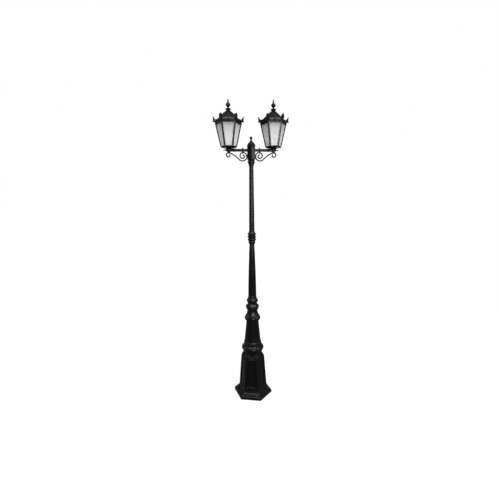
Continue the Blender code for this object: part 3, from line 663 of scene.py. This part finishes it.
def service_door():
    """A thin cast cover in the rear panel, with rounded corners and a raised rim."""
    vertices = corners_of("service_door")
    heading = FOOT_TURN + pi / 2
    along = polar(heading + pi / 2)
    low, high = min(v.z for v in vertices), max(v.z for v in vertices)
    outward = polar(heading, cos(WAIST_LEAN), sin(WAIST_LEAN)).normalized()
    middle = sum(vertices, Vector()) / len(vertices)
    face = max(v.dot(outward) for v in vertices)
    middle += outward * (face - middle.dot(outward) - 1.2)
    middle.z = (low + high) / 2
    half_width, half_height = max(abs((v - middle).dot(along)) for v in vertices), (high - low) / 2 - 0.6
    blank = prism(rounded_rectangle(half_width, half_height, 7.0), 2.2)
    rim = rounded_rectangle(half_width - 5.0, half_height - 5.0, 4.0)
    blank = worked(blank, prism(rim, 1.6), place=(0, 0, 1.3))
    matrix = Matrix((along, outward.cross(along), outward)).transposed()
    put("service_door", blank, place=middle, turn=matrix, edge=0.5)


def rounded_rectangle(half_width, half_height, radius, steps=5):
    points = []
    for quarter, (sx, sy) in enumerate(((1, 1), (-1, 1), (-1, -1), (1, -1))):
        for step in range(steps + 1):
            angle = (quarter + step / steps) * pi / 2
            centre = (sx * (half_width - radius), sy * (half_height - radius))
            points.append((centre[0] + radius * cos(angle), centre[1] + radius * sin(angle)))
    return points


# The column


def facet(angle):
    """How far in a twelve-sided outline lies at an angle, as a share of the circle through its corners."""
    local = (angle - FOOT_TURN) % (2 * pi / FACETS) - pi / FACETS
    return cos(pi / FACETS) / cos(local)


def column():
    bead_ring = [
        (60, 66.7, 0.5), (73, 66.7, 0.8), (75, 65.2, 1), (75.5, 62.6, 0.8), (79, 61.2, 1.5), (85, 55.5, 6),
        (91.4, 46.5, 4), (92.8, 41, 3), (92.8, 34, 3), (90.5, 28, 2), (86.5, 23.5, 1), (85.5, 20, 1),
        (81, 12.5, 4), (80, 9, 0.6), (80, 3.2, 0.6), (77.5, 2.4, 0.6), (77.5, 0, 0.4), (60, 0, 0.4),
    ]
    turned_piece("bead_ring", bead_ring)

    cone = [
        (44.5, 211.7, 0.4), (50.5, 211.7, 0.6), (52, 207, 1.5), (53.2, 190, 12), (56, 159, 12),
        (62.2, 100, 20), (68.6, 38, 12), (70, 26, 2), (72.6, 24, 1.5), (73.5, 21, 1.5), (73.5, 0, 0.4),
        (66, 0, 0.4),
    ]

    def cone_relief(angle, radius, height):
        if radius < 50 or height < 24.5:
            return radius
        fade = min(1.0, (height - 24.5) / 8.0, max(0.0, (209.0 - height) / 6.0))
        return radius * (1 + (facet(angle) - 1) * fade)

    mesh = turned_mesh(cone, circle_section(144, cone_relief), 1.0)
    boss = [(0, 3.4), (3.0, 2.9, 2), (5.6, 0.0, 1), (5.6, -3.0), (0, -3.0)]
    boss = turned_mesh(boss, circle_section(24))
    studs = [(mesh, Matrix())]
    stretch = Matrix.Diagonal((1.25, 0.95, 1.0, 1.0))
    for number in range(FACETS):
        heading = FOOT_TURN + number * 2 * pi / FACETS
        spot = Matrix.Translation(polar(heading, 72.4, 12.5) * MM)
        studs.append((boss, spot @ turned_about(polar(heading)).to_4x4() @ stretch))
    put("base_cone", joined(studs), place=foot_of("base_cone"))

    lower_collar = [
        (36, 86.7, 0.4), (42.5, 86.7, 0.6), (43.2, 82, 1), (43.6, 78, 3), (46.5, 66, 12), (51.5, 51, 8),
        (54, 46, 1), (56.5, 45, 1), (57, 42, 1), (62, 33.5, 8), (65.6, 26, 4), (66.2, 20, 3), (65.6, 14.5, 2),
        (63.5, 9.5, 1.2), (59, 6.2, 2), (56, 4.2, 1), (55.2, 0, 0.4), (36, 0, 0.4),
    ]

    def collar_relief(angle, radius, height):
        if radius < 42 or height < 46:
            return radius
        fade = min(1.0, (height - 46.0) / 5.0, max(0.0, (82.0 - height) / 4.0))
        return radius * (1 + (facet(angle) - 1) * fade)

    turned_piece("lower_collar", lower_collar, segments=144, relief=collar_relief)

    leaf_band = [
        (32, 60.7, 0.4), (36.5, 60.7, 0.6), (38.4, 57, 2), (41, 53, 4), (45.5, 48.5, 5), (51, 43.4, 3),
        (54.6, 40.4, 1.2), (55.4, 36, 1.2), (54.6, 31.4, 1), (52.6, 30, 0.8), (53.6, 24, 4), (52.4, 17, 4),
        (48.5, 10, 4), (44.4, 5.4, 1), (43.6, 3.4, 0.6), (42.6, 0, 0.4), (32, 0, 0.4),
    ]

    def leaf_relief(angle, radius, height):
        if radius < 40 or height < 5:
            return radius
        if height > 30.5:
            fade = max(0.0, min(1.0, (height - 41.0) / 4.0, (58.0 - height) / 4.0))
            return radius - 1.2 * fade * (1 - abs(sin(6 * angle))) ** 2
        fade = min(1.0, (height - 5.0) / 4.0, (30.5 - height) / 3.0)
        wave = abs(sin(5 * (angle + radians(2.6) * height)))
        return radius - 3.4 * fade * (1 - wave) ** 1.5

    turned_piece("leaf_band", leaf_band, segments=192, relief=leaf_relief)

    shaft_collar = [
        (27.5, 51.7, 0.4), (34.5, 51.7, 0.6), (35.2, 48.5, 1), (36.8, 46, 1.5), (38.5, 42.5, 1),
        (38.5, 40, 0.8), (43, 36.5, 4), (46.6, 29, 4), (47.2, 23, 4), (46.4, 16.5, 4), (43, 9.5, 4),
        (39.8, 6.6, 0.8), (39.2, 3, 0.8), (38.5, 0, 0.4), (27.5, 0, 0.4),
    ]
    turned_piece("shaft_collar", shaft_collar)


def shafts():
    lower_shaft = [
        (16.6, 441.7, 0.4), (20.1, 441.7, 0.6), (20.6, 430, 8), (22.4, 403, 12), (25.4, 337, 30),
        (28.4, 250, 30), (30.9, 160, 30), (33, 58, 20), (33.4, 12, 2), (34.6, 9, 1), (34.8, 3, 1),
        (34.2, 0, 0.4), (29.2, 0, 0.4), (26.9, 160), (21.4, 337),
    ]
    turned_piece("lower_shaft", lower_shaft)

    middle_collar = [
        (16.4, 107.7, 0.4), (23, 107.7, 0.6), (24, 104, 1.5), (24.4, 99.5, 2), (28, 93.5, 3), (33.4, 88.6, 2),
        (34.6, 83.3, 3), (33.2, 78.4, 2), (27.6, 74.8, 1.5), (27.4, 71.6, 1.5), (34.4, 67.8, 2),
        (35.8, 62.8, 3), (34.4, 57.6, 2), (28, 52.8, 1.5), (27.8, 49, 1.5), (33.4, 45.2, 2), (34.7, 40, 3),
        (33.2, 34.8, 2), (27.6, 30.8, 1.2), (27, 29, 0.8), (28.4, 24, 3), (28.4, 16, 4), (26, 9.5, 3),
        (23, 5.4, 1), (21.5, 0, 0.4), (16.4, 0, 0.4),
    ]
    turned_piece("middle_collar", middle_collar)

    upper_shaft = [
        (14, 510.2, 0.4), (17.1, 510.2, 0.6), (17.8, 440, 20), (19.9, 247, 30), (21.8, 40, 20), (22.2, 8, 1),
        (22.6, 0, 0.4), (18.7, 0, 0.4),
    ]
    turned_piece("upper_shaft", upper_shaft)

    top_collar = [
        (14, 43.2, 0.4), (24.6, 43.2, 0.8), (26.6, 38.6, 2), (27.4, 31, 3), (27, 22.5, 3), (25.4, 17, 1),
        (22, 14.6, 0.8), (21.4, 12, 0.8), (21, 6, 2), (19.2, 0, 0.4), (14, 0, 0.4),
    ]
    turned_piece("top_collar", top_collar)


# The head


def hub():
    low = foot_of("hub_body").z
    body = [
        (30, 100, 0.3), (34.2, 100, 0.6), (34.6, 96, 1), (34.6, 3, 1), (33.6, 0, 0.6), (16.4, 0, 0.3),
        (16.4, 11.5, 0.3), (30, 11.5, 0.3),
    ]
    mesh = turned_mesh(body, hexagon_section(1.6, HUB_TURN), 0.6)
    mesh = worked(mesh, laid(rod(ARM_BORE, 90.0), ALONG_X), place=(0, 0, middle_of("left_arm").z - low))
    put("hub_body", mesh, place=(0, 0, low), edge=0.5)

    cap = [
        (4.5, 43.5, 0.3), (15, 43.5, 1), (21, 42.2, 3), (28, 37.4, 4), (33, 29.4, 4), (34.8, 22, 1),
        (35, 20, 0.6), (36.8, 18.8, 0.6), (37.2, 17.2, 0.6), (37.2, 14.2, 0.6), (36.2, 12.8, 0.5),
        (29.2, 12.8, 0.2), (29.2, 0, 0.3), (24.5, 0, 0.3), (24.5, 22, 2), (20, 34, 2), (4.5, 38.5, 0.3),
    ]

    def cap_section(radius, height):
        soft = 1.6 + max(0.0, height - 26.0) * 0.9
        return hexagon_section(soft, HUB_TURN)(radius, height)

    mesh = turned_mesh(cap, cap_section, 1.0)
    put("hub_cap", mesh, place=(0, 0, foot_of("hub_cap").z))

    finial = [
        (0, 51.3), (5.5, 51, 1), (9.8, 48.6, 2.5), (11.6, 42, 5), (10.2, 35.4, 2.5), (6.8, 32.4, 1),
        (5.8, 30, 1), (6, 24, 2), (8.4, 21.4, 1), (11.6, 19.6, 1.5), (12.6, 16.4, 1.5), (11.4, 13.4, 1),
        (13.4, 11.6, 1), (15.4, 10, 0.8), (15.6, 8, 0.3), (4, 8, 0.3), (4, 0, 0.3), (0, 0),
    ]
    turned_piece("hub_finial", finial, segments=FINE)


def fastener(node, axis):
    """A dome-headed screw with a round socket, measured from the CAD's plain one."""
    axis = Vector(axis).normalized()
    vertices = corners_of(node)
    middle = sum(vertices, Vector()) / len(vertices)
    middle -= axis * middle.dot(axis)
    heights = [vertex.dot(axis) for vertex in vertices]
    radii = [(vertex - middle - axis * vertex.dot(axis)).length for vertex in vertices]
    top, tip, wide, slim = max(heights), min(heights), max(radii), 1.9
    seat = min(height for height, radius in zip(heights, radii) if radius > wide * 0.95)
    head = top - seat
    socket = wide * 0.46
    outline = [
        (0, top - head * 0.7),
        (socket, top - head * 0.7, 0),
        (socket, top - head * 0.06, 0.15),
        (wide * 0.7, top, 0.5),
        (wide, top - head * 0.55, 0.8),
        (wide, seat, 0.2),
        (slim, seat, 0.1),
        (slim, tip + 0.6, 0.3),
        (slim * 0.6, tip, 0.1),
        (0, tip),
    ]
    mesh = turned_mesh(outline, circle_section(36), 0.2)
    put(node, mesh, look=FASTENER, place=middle, turn=turned_about(axis))


def scroll_centre_line(side):
    """The scroll's centre line as the CAD makes it, in finer steps: outer volute, link, inner volute."""
    bottom_radius, end_radius, sweep = 36.0, 8.5, 510.0
    outer_x, outer_first, outer_top, outer_crest = 176.5, 11.0, 19.5, 19.0
    degrees_per_step, link_steps = 7.0, 18
    hub_side = HUB_RADIUS * FACE + GAP + SCROLL_BAR
    inner_height = middle_of("left_scroll_bolt").z
    outer_height = foot_of("left_stem").z - GAP - SCROLL_BAR - outer_crest

    def inner_radius(travel):
        return bottom_radius + (end_radius - bottom_radius) * travel / sweep

    def spiral(centre, start, turn, first, last):
        count = round(abs(turn) / degrees_per_step)
        points = []
        for index in range(count + 1):
            part = index / count
            angle = radians(start + turn * part)
            radius = first + (last - first) * part
            across, rise = radius * cos(angle), radius * sin(angle)
            points.append(Vector((centre[0] + across, 0, centre[1] + rise)))
        return points

    outer = spiral((outer_x, outer_height), -200.0, 310.0, outer_first, outer_top)
    centre = (hub_side + inner_radius(90.0), inner_height)
    inner = spiral(centre, -45.0, -45.0 - sweep, inner_radius(-45.0), end_radius)
    leave, arrive = Vector((-1.0, 0, -0.35)).normalized(), Vector((-1.0, 0, -1.0)).normalized()
    start, end = outer[-1], inner[0]
    pull = (end - start).length / 3
    handles = (start, start + leave * pull, end - arrive * pull, end)
    link = []
    for index in range(1, link_steps):
        t = index / link_steps
        weights = ((1 - t) ** 3, 3 * t * (1 - t) ** 2, 3 * t * t * (1 - t), t**3)
        link.append(sum((handle * weight for handle, weight in zip(handles, weights)), Vector()))
    return [Vector((side * point.x, 0, point.z)) for point in outer + link + inner]


def scroll(name, side):
    """A round bar bent into a volute at each end. The ends are hammered to a slight taper and rounded."""
    points = scroll_centre_line(side)
    last = len(points) - 1
    arm_underside = foot_of(f"{name}_arm").z
    hub_face = HUB_RADIUS * FACE
    end_steps, taper_steps = 3, 8
    sizes = []
    for index, point in enumerate(points):
        room = min(abs(point.x) - hub_face, arm_underside - point.z) - 0.25
        size = max(SCROLL_BAR, min(SCROLL_BAR + SCROLL_BULGE, room))
        if last - index < end_steps:
            size = SCROLL_BAR + SCROLL_BULGE + (end_steps - (last - index)) * 0.5
        sizes.append(size * (0.86 + 0.14 * min(1.0, index / taper_steps)))
    form = bmesh.new()
    rings = tube_rings(points, sizes, sizes, segments=18)

    def cap(end, neighbour):
        outward = (points[end] - points[neighbour]).normalized()
        shape = []
        for angle in CAP_ANGLES:
            middle = points[end] + outward * sizes[end] * sin(angle)
            shape.append([middle + (point - points[end]) * cos(angle) for point in rings[end]])
        return shape

    capped_loft(form, cap(0, 1)[::-1] + rings + cap(last, last - 1))
    put(f"{name}_scroll", finished(form))


def arm_side(name, side):
    axis_height = middle_of(f"{name}_arm").z
    outward = turned_about((side, 0, 0))
    arm = [
        (10.5, 166.5, 0.6), (10.5, 143.4, 0.5), (12.2, 141.6, 1.2), (12.2, 139, 0.8), (11.4, 137.4, 0.6),
        (11.4, 132.6, 0.6), (12.2, 131, 0.8), (12.2, 128.4, 1.2), (10.5, 126.6, 0.5), (10.5, 43, 0.5),
        (10.5, 42, 0.5), (10.5, 23.5, 0.5), (6.5, 23.5, 0.4), (6.5, 166.5, 0.4),
    ]
    turned_piece(f"{name}_arm", arm, 0.5, FINE, place=(0, 0, axis_height), turn=outward)
    tip = [
        (0, 218.5), (1.2, 217.4, 0.8), (3, 210, 4), (4.6, 203, 3), (4, 197.6, 2), (5.6, 195.8, 0.6),
        (7.6, 194.6, 0.8), (7.8, 190.6, 0.8), (9.6, 189.4, 0.6), (10.2, 187.6, 0.8), (10.2, 181, 0.4),
        (0, 181),
    ]
    turned_piece(f"{name}_arm_tip", tip, 0.5, FINE, place=(0, 0, axis_height), turn=outward)

    clamp = [
        (13.4, 6, 0.9), (13.4, 3, 0.4), (12.9, 2.4, 0.4), (12.9, -2.4, 0.4), (13.4, -3, 0.4), (13.4, -6, 0.9),
        (ARM_BORE, -6, 0.3), (ARM_BORE, 6, 0.3),
    ]
    mesh = laid(turned_mesh(clamp, circle_section(FINE), 0.5), outward)
    knob = [
        (0, 19.6), (3.4, 18.6, 1.5), (4.4, 15.8, 1), (3.2, 14.4, 0.5), (4.6, 13, 0.5), (4.6, 11.8), (0, 11.8),
    ]
    mesh = worked(mesh, turned_mesh(knob, circle_section(24), 0.4), "UNION")
    clamp = f"{name}_arm_clamp"
    put(clamp, mesh, place=(middle_of(clamp).x, 0, axis_height))

    stem = [
        (5.8, 25.7, 0.3), (22.6, 25.7, 0.5), (23.3, 25, 0.5), (23.3, 23.4, 0.8), (19.6, 22, 1),
        (18.6, 20.6, 1), (16.5, 18, 3), (16.5, 6, 1), (15.4, 4.4, 0.6), (13.7, 3.4, 0.5), (13.7, 0, 0.6),
        (2.4, 0, 0.2), (2.4, 8, 0.2), (5.8, 8, 0.2),
    ]
    mesh = turned_mesh(stem, circle_section(FINE), 0.5)
    place = foot_of(f"{name}_stem")
    mesh = worked(mesh, laid(rod(ARM_BORE, 60.0), ALONG_X), place=(0, 0, axis_height - place.z))
    put(f"{name}_stem", mesh, place=place, edge=0.3)
    scroll(name, side)
    fastener(f"{name}_scroll_bolt", (side, 0, 0))
    fastener(f"{name}_scroll_screw", (0, 0, -1))
    fastener(f"{name}_stem_bolt", (0, 0, -1))


# The lanterns


def frame_radius(height):
    """The corner radius of the lantern frame's sloping bars at a height above its base."""
    return FRAME_LOW_RADIUS + (FRAME_HIGH_RADIUS - FRAME_LOW_RADIUS) * height / FRAME_SLOPE_HEIGHT


def side_solid(low, high, depth, reach):
    """Blocks on the faces of a tapered hexagon. low and high are (corner radius, height, half width)."""
    form = bmesh.new()
    for side in range(SIDES):
        angle = (side + 0.5) * SIXTH
        outward, along = polar(angle), polar(angle + pi / 2)
        for corner in bmesh.ops.create_cube(form, size=2)["verts"]:
            radius, height, half_width = high if corner.co.z > 0 else low
            across = radius * FACE + (reach if corner.co.x > 0 else -depth)
            corner.co = outward * across + along * half_width * corner.co.y + Vector((0, 0, height))
    return finished(form)


def lantern_frame(name, x):
    node = f"{name}_lantern_frame"
    base = foot_of(node)
    outline = [
        (95, 182, 0.4), (103.6, 182, 0.5), (104, 180.6, 0.6), (104, 179.2, 0.5), (103, 178.4, 0.4),
        (103, 174.6, 0.4), (104, 173.8, 0.5), (104, 172.2, 0.8), (102.8, 169.4, 1), (102.2, 168, 0.5),
        (101.4, 167.4, 0.5), (101, 165.6, 0.4), (64, 2.6, 0.4), (64.4, 1.8, 0.4), (64.2, 0, 0.5),
        (58.5, 0, 0.4), (96, 166, 1), (95, 170, 1),
    ]
    mesh = turned_mesh(outline, hexagon_section(1.8), 0.5)
    edges = [(frame_radius(h), h, frame_radius(h) / 2 - BAR_HALF_WIDTH) for h in (WINDOW_LOW, WINDOW_HIGH)]
    mesh = worked(mesh, side_solid(*edges, depth=14.0, reach=6.0))
    hinge = middle_of(f"{name}_hinge_pin") - Vector((x, 0, base.z))
    web = laid(prism(rounded_rectangle(7.0, 4.0, 0.8), 11.5), ALONG_Y)
    mesh = worked(mesh, web, "UNION", hinge - Vector((0, 5.75, 5.5)))
    mesh = worked(mesh, laid(rod(4.0, 14.0), ALONG_X), "UNION", hinge)
    mesh = worked(mesh, laid(rod(2.1, 60.0, 24), ALONG_X), place=hinge)
    lug = [(0, 5), (4.8, 5, 0.4), (4.8, -3.4, 1.2), (3.4, -5, 1.2), (0, -5)]
    spot = (0, middle_of(f"{name}_catch_screw").y, LUG_HEIGHT)
    mesh = worked(mesh, turned_mesh(lug, circle_section(32)), "UNION", spot)
    mesh = worked(mesh, rod(2.5, 40.0, 24), place=spot)
    put(node, mesh, place=(x, 0, base.z), edge=0.6)


def panes(name, x):
    """Six opal panes with eased edges, standing inside the frame's bars."""
    node = f"{name}_diffuser"
    base = foot_of(node)
    height = (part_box(node)[1].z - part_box(node)[0].z) / MM
    radii = [frame_radius(level) - PANE_INSET for level in (GAP, height)]
    low, high = [(radius, level, radius / 2 - 0.5) for radius, level in zip(radii, (0.2, height - 0.2))]
    blocks = side_solid(low, high, depth=2.6, reach=-0.1)
    put(node, blocks, place=(x, 0, base.z), edge=0.5, name=f"{name}_panes")


def horn_mesh():
    """A cast corner leaf: an upright shell with a curled spike, two side volutes, a barb and a root.
    X runs out along the corner, Y along the eaves, and heights are above the roof's base."""
    form = bmesh.new()
    core = [
        (101, 5, 8, 5), (107, 9, 9.5, 6), (110.5, 17, 9.8, 4.6), (112, 25, 9.6, 4), (113, 32, 8.4, 3.4),
        (113.6, 35.5, 6.4, 2.8),
    ]
    spike = [
        (110, 22, 4, 4), (113.6, 29, 3.6, 3.4), (116.4, 34.5, 3, 2.6), (119.2, 38.8, 2.2, 1.8),
        (121.8, 41.2, 1.3, 1),
    ]
    root = [
        (80, 24.5, 2.6, 2.2), (90, 18.5, 3.6, 3), (98, 15.5, 5, 4), (104.5, 19, 5.6, 4.6), (109, 26, 4.4, 4),
    ]
    barb = [(102, 3, 7, 3.6), (109, 3.6, 7, 4.2), (114.5, 3.2, 5.4, 3.6), (118.6, 1.6, 3.4, 2.2)]
    rib = [(114.6, 6, 1.7, 1.7), (115.6, 14, 1.6, 1.6), (115.9, 23, 1.5, 1.5), (116.4, 31, 1.3, 1.3)]
    for stations in (core, spike, root, barb, rib):
        limb(form, [(x, 0, z, wide, deep) for x, z, wide, deep in stations], 18)
    lobe = [
        (104, 5, 6, 3.6, 3.6), (108, 10, 10, 3.4, 3.6), (110.6, 12, 17, 3, 3.4), (111.8, 10.6, 25, 2.9, 3.2),
        (112.8, 9.6, 31, 2.9, 3.2), (114, 5.8, 34.6, 2.6, 2.8),
    ]
    vein = [
        (113.6, 2.4, 8, 1.3, 1.3), (114.2, 6, 14, 1.3, 1.3), (114, 7.4, 22, 1.2, 1.2),
        (114.6, 6, 29, 1.2, 1.2),
    ]
    for side in (-1, 1):
        for stations, segments in ((lobe, 16), (vein, 10)):
            limb(form, [(x, side * y, z, wide, deep) for x, y, z, wide, deep in stations], segments)
    return fused(finished(form), voxel=0.9, faces=3200)


def roof_mesh():
    """A six-sided roof shell: bowed upper slopes, a steep studded band above the eaves, ribs on the hips."""
    outline = [
        (5.2, 82.2, 0.3), (15, 82, 1), (18.6, 79.8, 2), (24, 76, 4), (30, 71, 6), (40, 62.4, 8),
        (52, 51.2, 8), (64, 39, 8), (77, 26.4, 8), (86.4, 18.2, 1.5), (92, 16.4, 0.8), (93, 17.2, 0.5),
        (95.6, 16.8, 0.8), (97, 14.8, 0.6), (96.8, 13, 0.4), (101.2, 4, 0.4), (103, 3.6, 0.6),
        (104, 2.4, 0.6), (103.4, 0, 0.4), (96, 0, 0.4), (95, 4.5, 1), (86, 11.5, 2), (60, 36, 3),
        (37, 57.5, 3), (26, 67.5, 3), (16, 76.5, 1), (5.2, 77.7, 0.3),
    ]
    shell = turned_mesh(outline, hexagon_section(1.6), 0.6)
    parts = [(shell, Matrix())]
    form = bmesh.new()
    slope = [(18.5, 79.8), (30.0, 71.2), (40.5, 62.4), (52.5, 51.2), (64.5, 39.0), (77.0, 26.8), (88.0, 18.8)]
    limb(form, [(radius, 0, height, 2.0, 1.8) for radius, height in slope], 12)
    rib = finished(form)
    horn = horn_mesh()
    outline = [(0, 2.2), (2.2, 1.6, 1), (3.4, 0.2, 0.5), (3.4, -1.5), (0, -1.5)]
    stud = turned_mesh(outline, circle_section(16))
    stud.transform(Matrix.Diagonal((1.1, 1.6, 1.0, 1.0)))
    band_radius, band_height, band_lean, pitch = 99.0 * FACE, 8.4, radians(68), 12.2
    for side in range(SIDES):
        corner = Matrix.Rotation(side * SIXTH, 4, "Z")
        parts += [(rib, corner), (horn, corner)]
        face = Matrix.Rotation((side + 0.5) * SIXTH, 4, "Z")
        for number in range(-3, 4):
            spot = Matrix.Translation(Vector((band_radius, number * pitch, band_height)) * MM)
            parts.append((stud, face @ spot @ Matrix.Rotation(band_lean, 4, "Y")))
    return joined(parts)


def knuckles(name, roof_base, hinge):
    """The roof's hinge knuckles with their webs, and its catch lug, each with its place in the roof."""
    pieces = []
    local = Vector((0, hinge.y, hinge.z - roof_base))
    eye = [(4.0, 4.0, 0.5), (4.0, -4.0, 0.5), (2.1, -4.0, 0.1), (2.1, 4.0, 0.1)]
    for shift in (-11.5, 11.5):
        spot = local + Vector((shift, 0, 0))
        mesh = turned_mesh(eye, circle_section(32))
        pieces.append((mesh, Matrix.Translation(spot * MM) @ ALONG_X.to_4x4()))
        web = prism(rounded_rectangle(4.0, 3.2, 0.8), 9.0)
        spot = local + Vector((shift, -7.0, 5.4))
        pieces.append((web, Matrix.Translation(spot * MM) @ ALONG_Y.to_4x4()))
    lug = [(4.8, 7.4, 0.6), (4.8, 0.2, 0.3), (2.3, 0.2, 0.1), (2.3, 7.4, 0.1)]
    spot = Vector((0, middle_of(f"{name}_catch_screw").y, 0))
    pieces.append((turned_mesh(lug, circle_section(32)), Matrix.Translation(spot * MM)))
    return pieces


def lantern(name, roof_shape):
    x = middle_of(f"{name}_roof_finial").x
    pan = [
        (54, 10.7, 0.3), (60.4, 10.7, 0.5), (61, 10, 0.4), (61, 8.8, 0.5), (59.4, 7.2, 0.6), (57.5, 5.6, 1),
        (48, 3.4, 5), (40, 1.9, 3), (24, 0, 1), (6.2, 0, 0.3), (6.2, 3.2, 0.3), (24, 3.2, 1), (40, 5, 2),
        (54, 7.7, 0.5),
    ]
    mesh = turned_mesh(pan, hexagon_section(1.6), 0.5)
    pan = f"{name}_lantern_pan"
    put(pan, mesh, place=(x, 0, foot_of(pan).z))
    lantern_frame(name, x)
    panes(name, x)
    holder = [
        (15, 54.2, 0.5), (18, 54.2, 1), (19, 52, 1), (18.6, 49, 1), (19.5, 46, 2), (18.9, 30, 4), (18, 15, 4),
        (14.5, 1.6, 2), (13.4, 0, 0.5), (4, 0, 0.3), (4, 8, 0.3), (14.2, 15, 1),
    ]
    turned_piece(f"{name}_lamp_holder", holder, segments=FINE)
    bulb = [
        (0, 108.5), (10, 107.6, 8), (23, 99.5, 8), (29.4, 86, 8), (29.5, 75, 8), (25.5, 61, 8), (19, 48, 8),
        (13.8, 38, 3), (13, 34, 1), (13, 4, 1), (6, 0, 1), (0, 0),
    ]
    turned_piece(f"{name}_bulb", bulb, segments=FINE)

    roof_base = foot_of(f"{name}_roof_finial").z + FINIAL_SINK - ROOF_HEIGHT
    hinge = middle_of(f"{name}_hinge_pin")
    parts = [(roof_shape, Matrix())] + knuckles(name, roof_base, hinge)
    put(f"{name}_roof", joined(parts), place=(x, 0, roof_base))
    finial = [
        (0, 95), (1.8, 94.6, 0.8), (3.4, 92.4, 1.5), (4.4, 87, 3), (5.4, 80, 3), (6.6, 75, 2), (6.8, 71, 1),
        (5.4, 68.6, 1), (6.4, 66.2, 0.8), (11.6, 64.6, 3), (16.4, 59.6, 4), (17.6, 53.4, 4), (16.4, 46.4, 4),
        (12, 39.8, 3), (8, 35.8, 2), (5.9, 33.4, 1), (6.4, 30.4, 1), (9.6, 28.4, 1), (17.6, 25.4, 2),
        (22.4, 21.4, 2), (21.6, 18.6, 1.2), (17, 16.4, 1), (15.4, 13.6, 1), (15.9, 9.3, 0.4), (4, 9.3, 0.3),
        (4, 0, 0.3), (0, 0),
    ]
    turned_piece(f"{name}_roof_finial", finial, segments=FINE)
    fastener(f"{name}_catch_screw", (0, 0, 1))
    low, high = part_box(f"{name}_hinge_pin")
    end = (high.x - low.x) / MM / 2
    upper = [(0, end), (1.2, end, 0.3), (1.7, end - 0.8, 0.3)]
    pin = upper + [(1.7, 0.8 - end, 0.3), (1.2, -end, 0.3), (0, -end)]
    turned_piece(f"{name}_hinge_pin", pin, 0.3, 24, place=hinge, turn=ALONG_X)


def inner_pieces():
    """Pieces whose CAD shape stays, with the finish of their slot."""
    for node, obj in frame["nodes"].items():
        if not obj.hide_render:
            obj.data.materials.clear()
            obj.data.materials.append(LOOKS[SLOT_OF[node]])


# The studio


def floor():
    """A pale floor that glows a little, so that it meets the white surround without a line."""
    form = bmesh.new()
    bmesh.ops.create_circle(form, cap_ends=True, radius=60.0, segments=128)
    mesh = bpy.data.meshes.new("floor")
    form.to_mesh(mesh)
    form.free()
    look = Nodes("pale_floor")
    distance = look.node("ShaderNodeVectorMath", Vector=look.place)
    distance.operation = "LENGTH"
    share = look.maths("DIVIDE", distance.outputs["Value"], 10.0)
    glow = look.ramp(share, [(0.0, 0.76), (0.3, 0.87), (1.0, 0.96)])
    tone = look.clouds((0.33, 0.33, 0.33), (0.36, 0.36, 0.36), 1.5, 2.0)
    look.set(Base_Color=tone, Roughness=0.9, Specular_IOR_Level=0.1)
    look.set(Emission_Color=(1, 1, 1, 1), Emission_Strength=glow)
    mesh.materials.append(look.material)
    made = placed("floor", mesh)
    made.location.z = -0.0005
    made.visible_glossy = False
    made.visible_diffuse = False


def softbox(name, place, aim, width, height, power):
    light = bpy.data.lights.new(name, "AREA")
    light.shape = "RECTANGLE"
    light.size = width
    light.size_y = height
    light.energy = power
    made = placed(name, light)
    made.location = place
    made.visible_camera = False
    made.rotation_euler = (Vector(aim) - Vector(place)).to_track_quat("-Z", "Y").to_euler()


def studio():
    """A white surround that the camera sees, dimmer for what it lights, with soft boxes round the post."""
    scene = bpy.context.scene
    scene.view_settings.view_transform = "Standard"
    world = bpy.data.worlds.new("surround")
    scene.world = world
    world.use_nodes = True
    tree = world.node_tree
    shade = tree.nodes["Background"]
    shade.inputs["Color"].default_value = (1, 1, 1, 1)
    shade.inputs["Strength"].default_value = 0.16
    seen = tree.nodes.new("ShaderNodeBackground")
    seen.inputs["Color"].default_value = (1, 1, 1, 1)
    mix = tree.nodes.new("ShaderNodeMixShader")
    path = tree.nodes.new("ShaderNodeLightPath")
    tree.links.new(path.outputs["Is Camera Ray"], mix.inputs["Fac"])
    tree.links.new(shade.outputs["Background"], mix.inputs[1])
    tree.links.new(seen.outputs["Background"], mix.inputs[2])
    tree.links.new(mix.outputs["Shader"], tree.nodes["World Output"].inputs["Surface"])
    softbox("front_light", (0.6, -3.6, 1.9), (0, 0, 2.0), 1.2, 1.2, 56)
    softbox("right_light", (3.1, -1.45, 2.2), (0, 0, 2.0), 1.0, 1.0, 19)
    softbox("left_light", (-3.4, 0.5, 1.8), (0, 0, 2.1), 1.0, 1.0, 15)
    softbox("sky_light", (0.2, -1.2, 4.6), (0, 0, 0.8), 5.0, 0.5, 140)
    softbox("backdrop", (0, 7.0, 0.7), (0, 0, 1.6), 6.0, 3.0, 70)


def camera():
    """The camera stands 2.4 m away with its lens at eye level, tipped down a little."""
    data = bpy.data.cameras.new("camera")
    data.sensor_width = 36.0
    data.lens = 21.16
    made = placed("camera", data)
    heading, tip, roll = radians(-3.96), radians(90 - 8.53), radians(-0.5)
    turn = Euler((tip, 0, heading)).to_matrix() @ Matrix.Rotation(roll, 3, "Z")
    made.matrix_world = Matrix.Translation((-0.1797, -2.3662, 1.599)) @ turn.to_4x4()
    data.clip_end = 200.0
    bpy.context.scene.camera = made


foot()
column()
shafts()
hub()
roof_shape = roof_mesh()
for side_name, side_sign in (("left", -1), ("right", 1)):
    arm_side(side_name, side_sign)
    lantern(side_name, roof_shape)
for screw, degrees in (("cap_screw", -60), ("head_set_screw_1", 60), ("head_set_screw_2", 120)):
    fastener(screw, polar(radians(degrees)))
fastener("door_screw", polar(FOOT_TURN + pi / 2, cos(WAIST_LEAN), sin(WAIST_LEAN)))
inner_pieces()
floor()
studio()
camera()
